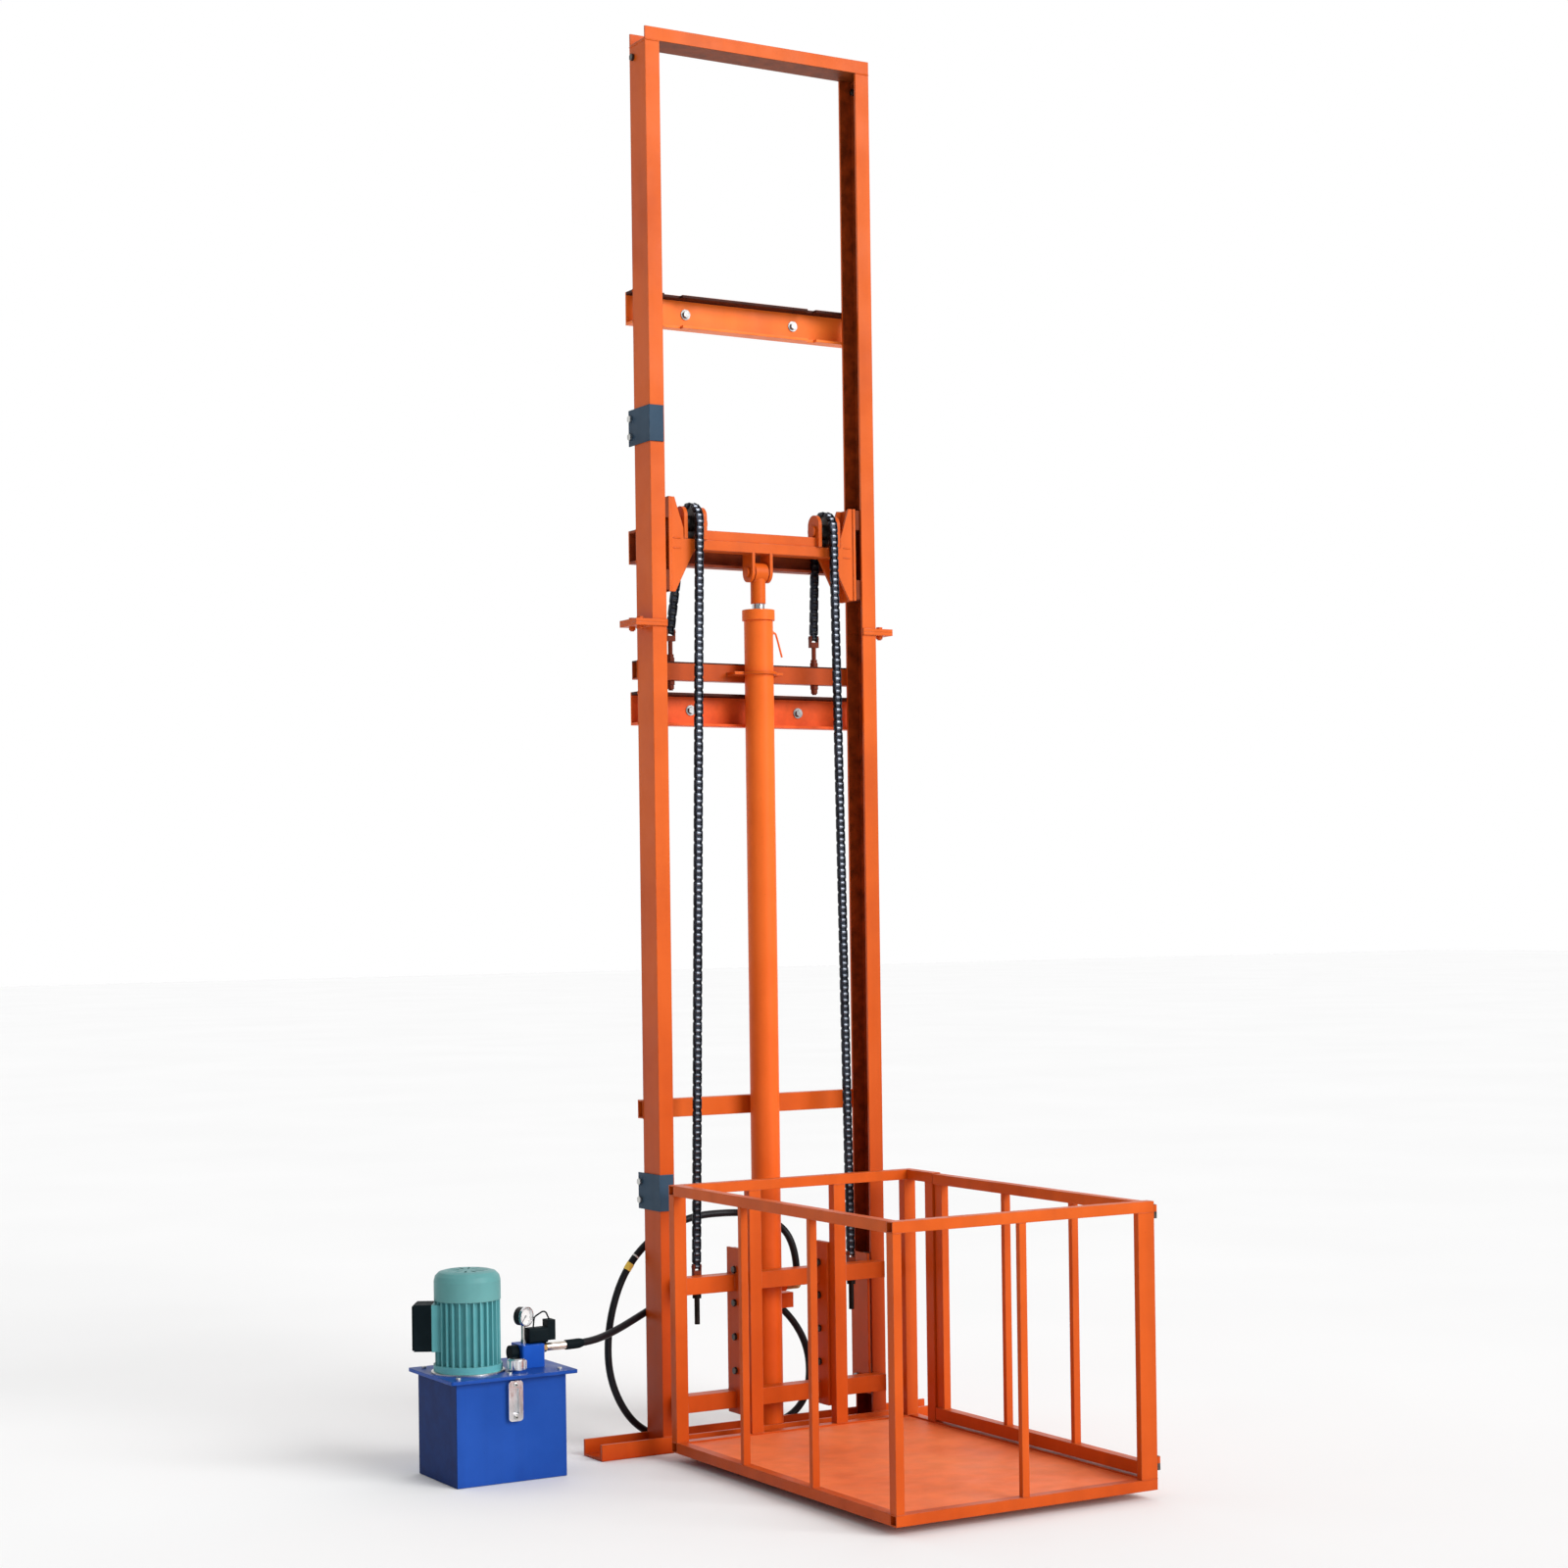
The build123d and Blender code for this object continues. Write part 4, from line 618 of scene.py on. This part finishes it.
def circle(radius, sides):
    return [(radius * cos(2 * pi * i / sides), radius * sin(2 * pi * i / sides)) for i in range(sides)]


def ring_at(middle, u_axis, v_axis, outline):
    """An outline's points in space, laid along two axes from a middle."""
    return [middle + u_axis * u + v_axis * v for u, v in outline]


def chain(shape, pins, across, first, rollers_from=1, in_clevis=False):
    """Links between pins: plates inside and outside in turn, a dark middle block as painted shade in the gaps
    between rollers, rollers and riveted pin ends.
    """
    for i, (a, b) in enumerate(zip(pins, pins[1:])):
        along = (b - a).normalized()
        up = across.cross(along)
        middle = (a + b) / 2
        inner = (i + first) % 2 == 0
        half_height, gap = (INNER_HALF_H, INNER_GAP) if inner else (OUTER_HALF_H, OUTER_GAP)
        if in_clevis and i == len(pins) - 2:
            gap = CLEVIS_GAP
        past = JOINED_PAST if in_clevis and i == 0 else PLATE_PAST
        full = plate_outline(half_height, past)
        small = plate_outline(half_height, past, PLATE_BEVEL)
        for side in (-1, 1):
            stations = (
                (gap, small), (gap + PLATE_BEVEL, full),
                (gap + PLATE_T - PLATE_BEVEL, full), (gap + PLATE_T, small),
            )
            if side < 0:
                stations = [(-w, outline) for w, outline in reversed(stations)]
            shape.rings([ring_at(middle + across * w, along, up, outline) for w, outline in stations])
        # Dark block between the plates: painted shade in the gaps between rollers
        reach, tall = PITCH / 2, GAP_SHADE_HALF_H
        corners = ((reach, -tall), (reach, tall), (-reach, tall), (-reach, -tall))
        half = min(gap, INNER_GAP)
        shape.rings([ring_at(middle + across * w, along, up, corners) for w in (-half, half)])
    straight = ROLLER_HALF * ROLLER_STRAIGHT
    roller = ((-ROLLER_HALF, ROLLER_END), (-straight, 1), (straight, 1), (ROLLER_HALF, ROLLER_END))
    rod = ((-PIN_HALF, PIN_END), (-PIN_HALF + PIN_BEVEL, 1), (PIN_HALF - PIN_BEVEL, 1), (PIN_HALF, PIN_END))
    for pin in pins[rollers_from:]:
        u_axis = Vector((0, 0, 1)).cross(across).normalized()
        v_axis = across.cross(u_axis)
        for profile, radius, sides, kind in ((roller, ROLLER_R, ROLLER_SIDES, 1), (rod, PIN_R, PIN_SIDES, 0)):
            rings = []
            for w, share in profile:
                rings.append(ring_at(pin + across * w, u_axis, v_axis, circle(radius * share, sides)))
            shape.rings(rings, kind)


def strand(top, foot_xy, links):
    """Pins of a straight run of chain, and the way its pins point."""
    run = links * PITCH
    dx, dy = foot_xy[0] - top.x, foot_xy[1] - top.y
    down = Vector((dx, dy, -sqrt(run**2 - dx**2 - dy**2))) / run
    across = (Vector((1, 0, 0)) - down * down.x).normalized()
    return [top + down * (PITCH * i) for i in range(links + 1)], across


def build_chains():
    """Strands and the part over the sheaves; the end links go with the sheave and with the carriage."""
    front, feet, rear, wrap = Shape(), Shape(), Shape(), Shape()
    level = Vector((1, 0, 0))
    for side in (-1, 1):
        x = side * SHEAVE_X
        knee = Vector((x, SHEAVE_Y + SHEAVE_R, SHEAVE_Z - PITCH))
        pins, across = strand(knee, REAR_FEET[side], N_REAR - 1)
        chain(rear, pins, across, 1, in_clevis=True)
        turn = [2 * pi * i / PER_TURN for i in range(PER_TURN // 2 + 1)]
        over = [Vector((x, SHEAVE_Y + SHEAVE_R * cos(a), SHEAVE_Z + SHEAVE_R * sin(a))) for a in turn]
        chain(wrap, [knee, *over], level, 0, rollers_from=0)
        top = Vector((x, SHEAVE_Y - SHEAVE_R, SHEAVE_Z))
        foot_x, foot_y = FRONT_FOOT
        pins, across = strand(top, (side * foot_x, foot_y), N_FRONT)
        chain(front, pins[:-N_FEET], across, 0)
        chain(feet, pins[-N_FEET - 1:], across, N_FRONT - N_FEET, in_clevis=True)
    front_obj = front.to_object("front_chain_links", [PLATE, ROLLER])
    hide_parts("front_chains")
    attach(front_obj, "crosshead")
    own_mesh(front_obj)
    feet_obj = feet.to_object("front_chain_feet", [PLATE, ROLLER])
    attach(feet_obj, "carriage")
    # Rear strands use the darker rollers as painted shade
    rear_obj = rear.to_object("rear_chain_links", [PLATE, SHADED_ROLLER])
    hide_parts("rear_chains")
    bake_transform(rear_obj)
    wrap_obj = wrap.to_object("sheave_chain_links", [PLATE, ROLLER])
    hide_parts("chain_wraps")
    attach(wrap_obj, "crosshead")


# Hose
def route_points(curve_obj):
    """Points along the hose's own spline, read from a copy of it without thickness."""
    bare = curve_obj.copy()
    bare.data = curve_obj.data.copy()
    bare.data.bevel_depth = 0.0
    bpy.context.scene.collection.objects.link(bare)
    bpy.context.view_layer.update()
    line = bpy.data.meshes.new_from_object(bare.evaluated_get(bpy.context.evaluated_depsgraph_get()))
    points = [v.co.copy() for v in line.vertices]
    curve = bare.data
    bpy.data.objects.remove(bare)
    bpy.data.curves.remove(curve)
    bpy.data.meshes.remove(line)
    return points


def sleeve_on(name, points, radii, material, sides=24):
    """Round sleeve along some of the hose's points, one radius for each."""
    shape = Shape()
    rings = []
    for i, (point, radius) in enumerate(zip(points, radii)):
        ahead = points[min(i + 1, len(points) - 1)] - points[max(i - 1, 0)]
        along = ahead.normalized()
        side = along.cross(Vector((0, 0, 1)))
        if side.length < UPRIGHT_LIMIT:
            side = along.cross(Vector((0, 1, 0)))
        side.normalize()
        up = side.cross(along)
        rings.append(ring_at(point, side, up, circle(radius, sides)))
    shape.rings(rings)
    return shape.to_object(name, [material])


def nearest(points, place):
    """Number of the point that lies nearest to a place."""
    return min(range(len(points)), key=lambda i: (points[i] - Vector(place)).length)


def build_hose():
    """Hose along its route, with a yellow band, a white mark and a boot at the valve block."""
    data = bpy.data.curves.new("hydraulic_hose_line", "CURVE")
    data.dimensions = "3D"
    spline = data.splines.new("NURBS")
    spline.points.add(len(HOSE_POINTS) - 1)
    for point, place in zip(spline.points, HOSE_POINTS):
        point.co = (*place, 1)
    spline.order_u = 3
    spline.use_endpoint_u = True
    spline.resolution_u = 12
    data.bevel_depth = HOSE_D / 2
    data.bevel_resolution = 6
    data.use_fill_caps = True
    data.materials.append(RUBBER)
    hose = bpy.data.objects.new("hose_rubber_line", data)
    bpy.context.scene.collection.objects.link(hose)
    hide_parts("hydraulic_hose")
    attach(hose, "mast")
    points = route_points(hose)
    near = nearest(points, BAND_NEAR)
    band = sleeve_on("hose_yellow_band", points[near - 1:near + 2], [BAND_R] * 3, YELLOW)
    near = nearest(points, MARK_NEAR)
    marked = [points[near], points[near].lerp(points[near + 1], MARK_SHARE)]
    mark = sleeve_on("hose_white_mark", marked, [MARK_R] * 2, WHITE)
    boot = sleeve_on("hose_black_boot", points[:len(BOOT_RADII)], BOOT_RADII, BLACK)
    for piece in (band, mark, boot):
        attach(piece, "mast")


# Welds
def bead(shape, start, end, radius=WELD_R):
    """Rippled weld between two points."""
    start, end = Vector(start), Vector(end)
    along = (end - start).normalized()
    side = along.orthogonal().normalized()
    up = along.cross(side)
    steps = max(2, round((end - start).length / WELD_STEP))
    rings = []
    for i in range(steps + 1):
        share = WELD_END if i in (0, steps) else WELD_RIPPLE[i % 2]
        middle = start.lerp(end, i / steps)
        rings.append(ring_at(middle, side, up, circle(radius * share, WELD_SIDES)))
    shape.rings(rings)


def weld_round(shape, x0, x1, y0, y1, levels):
    """Welds on the four sides of an upright, at each level."""
    for z in levels:
        corners = [(x0, y0, z), (x1, y0, z), (x1, y1, z), (x0, y1, z)]
        for a, b in zip(corners, corners[1:] + corners[:1]):
            bead(shape, a, b, POST_WELD_R)


def mast_welds():
    shape = Shape()
    for side in (-1, 1):
        near, far = side * COLUMN_IN, side * MAST_HALF
        for z in (BASE_TOP, MAST_TOP):
            for y in (-COLUMN_HALF_Y, COLUMN_HALF_Y):
                bead(shape, (near, y, z), (far, y, z))
        for z in JOINT_LEVELS:
            bead(shape, (near, -COLUMN_HALF_Y, z), (far, -COLUMN_HALF_Y, z))
        for z in (MAST_TOP, *JOINT_LEVELS):
            bead(shape, (far, -COLUMN_HALF_Y, z), (far, COLUMN_HALF_Y, z))
        for z, half, wall in CROSS_MEMBERS:
            for way in (-1, 1):
                edge = z + way * half
                bead(shape, (near, COLUMN_HALF_Y, edge), (far, COLUMN_HALF_Y, edge))
                bead(shape, (far, COLUMN_HALF_Y, edge - way * wall), (far, COLUMN_HALF_Y, edge))
        x, y, low, high = STAY
        bead(shape, (side * x, y, low), (side * x, y, high))
    half, *levels = CLAMP
    for z in levels:
        bead(shape, (-half, COLUMN_HALF_Y, z), (half, COLUMN_HALF_Y, z))
    return shape


def crosshead_welds():
    shape = Shape()
    low, high = HEAD_LEVELS
    under, over = BEAM_LEVELS
    reach, upper_y = UPPER_BEAM
    for y in (-1, 1):
        bead(shape, (-reach, y * upper_y, over), (reach, y * upper_y, over))
        for side in (-1, 1):
            bead(shape, (side * HEAD_X, y * GUSSET_Y, low), (side * HEAD_X, y * GUSSET_Y, high))
            for z in BEAM_LEVELS:
                near, far = (side * (HEAD_X - inset) for inset in GUSSET_SEAM)
                bead(shape, (near, y * GUSSET_Y, z), (far, y * GUSSET_Y, z))
    for side in (-1, 1):
        for x in LUG_FACES:
            bead(shape, (side * x, -BEAM_HALF_Y, over), (side * x, BEAM_HALF_Y - LUG_SEAM_SHORT, over))
        for x in EAR_FACES:
            bead(shape, (side * x, -BEAM_HALF_Y, under), (side * x, BEAM_HALF_Y, under))
    return shape


def carriage_welds():
    shape = Shape()
    front, back = RAIL_Y
    for z in RAIL_LEVELS:
        low, high = z - RAIL_HALF_H, z + RAIL_HALF_H
        for x in PLATE_FACES:
            bead(shape, (x, front, low), (x, front, high))
            for level in (low, high):
                bead(shape, (x, front, level), (x, back, level))
        for side in (-1, 1):
            for x in ROLLER_PLATE:
                bead(shape, (side * x, back, low), (side * x, back, high))
    for post in CAGE_POSTS:
        weld_round(shape, *post, POST_LEVELS)
    return shape


def gate_welds():
    shape = Shape()
    for post in GATE_POSTS:
        weld_round(shape, *post, GATE_LEVELS)
    return shape


def build_welds():
    for body, welds in (("mast", mast_welds), ("crosshead", crosshead_welds),
                        ("carriage", carriage_welds), ("gate", gate_welds)):
        seam = welds().to_object(f"{body}_welds", [ORANGE])
        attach(seam, body)


# Details of the power unit
def bar(shape, low, high, kind=0):
    """Box between two corners."""
    (x0, y0, z0), (x1, y1, z1) = low, high
    shape.rings([[(x0, y0, z), (x1, y0, z), (x1, y1, z), (x0, y1, z)] for z in (z0, z1)], kind)


def build_gauge_face():
    """White dial with plain marks over three quarters of a turn, in a plated rim."""
    centre = Vector(GAUGE_AT)
    out = Vector((sin(GAUGE_TURN), -cos(GAUGE_TURN), 0))
    level = Vector((cos(GAUGE_TURN), sin(GAUGE_TURN), 0))
    upright = Vector((0, 0, 1))
    dial = Shape()
    disc = circle(DIAL_R, DIAL_SIDES)
    dial.rings([ring_at(centre + out * w, level, upright, disc) for w in DIAL_DEPTHS])
    for k in range(MARK_STEPS + 1):
        angle = radians(MARK_START - MARK_SWEEP * k / MARK_STEPS)
        along = level * cos(angle) + upright * sin(angle)
        across = out.cross(along)
        begin, half = MAIN_MARK if k % MARKS_PER_MAIN == 0 else SMALL_MARK
        near, far = begin * DIAL_R, MARK_END * DIAL_R
        corners = ((near, -half), (far, -half), (far, half), (near, half))
        dial.rings([ring_at(centre + out * w, along, across, corners) for w in MARK_DEPTHS], 1)
    rim = [ring_at(centre + out * w, level, upright, circle(r, DIAL_SIDES)) for r, w in GAUGE_RIM]
    dial.rings(rim, 2, closed=True)
    face = dial.to_object("gauge_dial", [DIAL, INK, CHROME])
    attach(face, "mast")


def build_level_gauge():
    """Pale tube on a dark ground behind the window, and a screw at each end."""
    x, y, z = LEVEL_AT
    shape = Shape()
    for (half, back, front, tall), kind in ((LEVEL_GROUND, 1), (LEVEL_TUBE, 0)):
        bar(shape, (x - half, y - front, z - tall), (x + half, y - back, z + tall), kind)
    for way in (-1, 1):
        for radius, sides, kind, depth in LEVEL_SCREW:
            rings = []
            for offset, share in ((0.0, 1.0), (SCREW_STRAIGHT * depth, 1.0), (depth, SCREW_TOP)):
                middle = Vector((x, y - SCREW_OUT - offset, z + way * SCREW_UP))
                rings.append([middle + Vector((u, 0, v)) for u, v in circle(radius * share, sides)])
            shape.rings(rings, kind)
    detail = shape.to_object("level_gauge_detail", [WHITE, INK, ZINC])
    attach(detail, "mast")


def build_motor_ring():
    """Spigot ring under the motor flange."""
    shape = Shape()
    centre = Vector(MOTOR_AT)
    rings = []
    for height, radius in SPIGOT:
        rings.append([centre + Vector((u, v, height)) for u, v in circle(radius, SPIGOT_SIDES)])
    shape.rings(rings)
    ring = shape.to_object("motor_spigot_ring", [ZINC])
    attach(ring, "mast")


# Camera and studio
def build_camera():
    """The photograph's own view."""
    data = bpy.data.cameras.new("photo_camera")
    data.lens = CAMERA_LENS
    data.sensor_width = SENSOR_WIDTH
    data.shift_x, data.shift_y = CAMERA_SHIFT
    camera = bpy.data.objects.new("photo_camera", data)
    bpy.context.scene.collection.objects.link(camera)
    flat = cos(CAMERA_PITCH)
    ahead = Vector((sin(CAMERA_YAW) * flat, cos(CAMERA_YAW) * flat, sin(CAMERA_PITCH)))
    right = ahead.cross(Vector((0, 0, 1))).normalized()
    up = right.cross(ahead)
    turned_right = right * cos(CAMERA_ROLL) + up * sin(CAMERA_ROLL)
    turned_up = up * cos(CAMERA_ROLL) - right * sin(CAMERA_ROLL)
    turn = Matrix((turned_right, turned_up, -ahead)).transposed().to_4x4()
    camera.matrix_world = Matrix.Translation(CAMERA_AT) @ turn
    bpy.context.scene.camera = camera


def sun(name, towards, strength, spread):
    data = bpy.data.lights.new(name, "SUN")
    data.energy = strength
    data.angle = radians(spread)
    light = bpy.data.objects.new(name, data)
    bpy.context.scene.collection.objects.link(light)
    light.rotation_euler = Vector(towards).to_track_quat("-Z", "Y").to_euler()


def build_world():
    """Soft studio surround: bright behind the lift, dimmer in front and to its left."""
    world = bpy.data.worlds.new("studio")
    world.use_nodes = True
    tree = world.node_tree
    sky = tree.nodes["Background"]
    place = add(tree, "ShaderNodeTexCoord")
    side = add(tree, "ShaderNodeVectorMath", operation="DOT_PRODUCT")
    side.inputs[1].default_value = (sin(CAMERA_YAW), cos(CAMERA_YAW), SKY_LIFT)
    tree.links.new(place.outputs["Generated"], side.inputs[0])
    spread = add(tree, "ShaderNodeMapRange")
    spread.inputs["From Min"].default_value, spread.inputs["From Max"].default_value = SKY_RANGE
    tree.links.new(side.outputs["Value"], spread.inputs["Value"])
    shade = ramp(tree, spread.outputs["Result"], [(0.0, grey(DIM_SIDE)), (1.0, grey(1.0))])
    tree.links.new(shade, sky.inputs["Color"])
    sky.inputs["Strength"].default_value = 1.0
    bpy.context.scene.world = world


def build_studio():
    """White floor, soft surround and one broad light."""
    material, tree, shader = new_material("studio_floor", (0.86, 0.86, 0.86), 0.8)
    tone = ramp(tree, noise(tree, 0.6, 2.0), [(0.3, grey(0.85)), (0.7, grey(0.87))])
    tree.links.new(tone, shader.inputs["Base Color"])
    shader.inputs["Specular IOR Level"].default_value = 0.1
    half = FLOOR_HALF
    corners = [(-half, -half, 0), (half, -half, 0), (half, half, 0), (-half, half, 0)]
    floor = mesh_object("studio_floor", corners, [(0, 1, 2, 3)], [material])
    floor.location.z = -FLOOR_DROP
    build_world()
    sun("key", SUN_TOWARDS, SUN_STRENGTH, SUN_SPREAD)
    bpy.context.scene.view_settings.view_transform = "Standard"


build_camera()
build_hose()
build_chains()
build_welds()
build_gauge_face()
build_level_gauge()
build_motor_ring()
dress_cad()
build_studio()
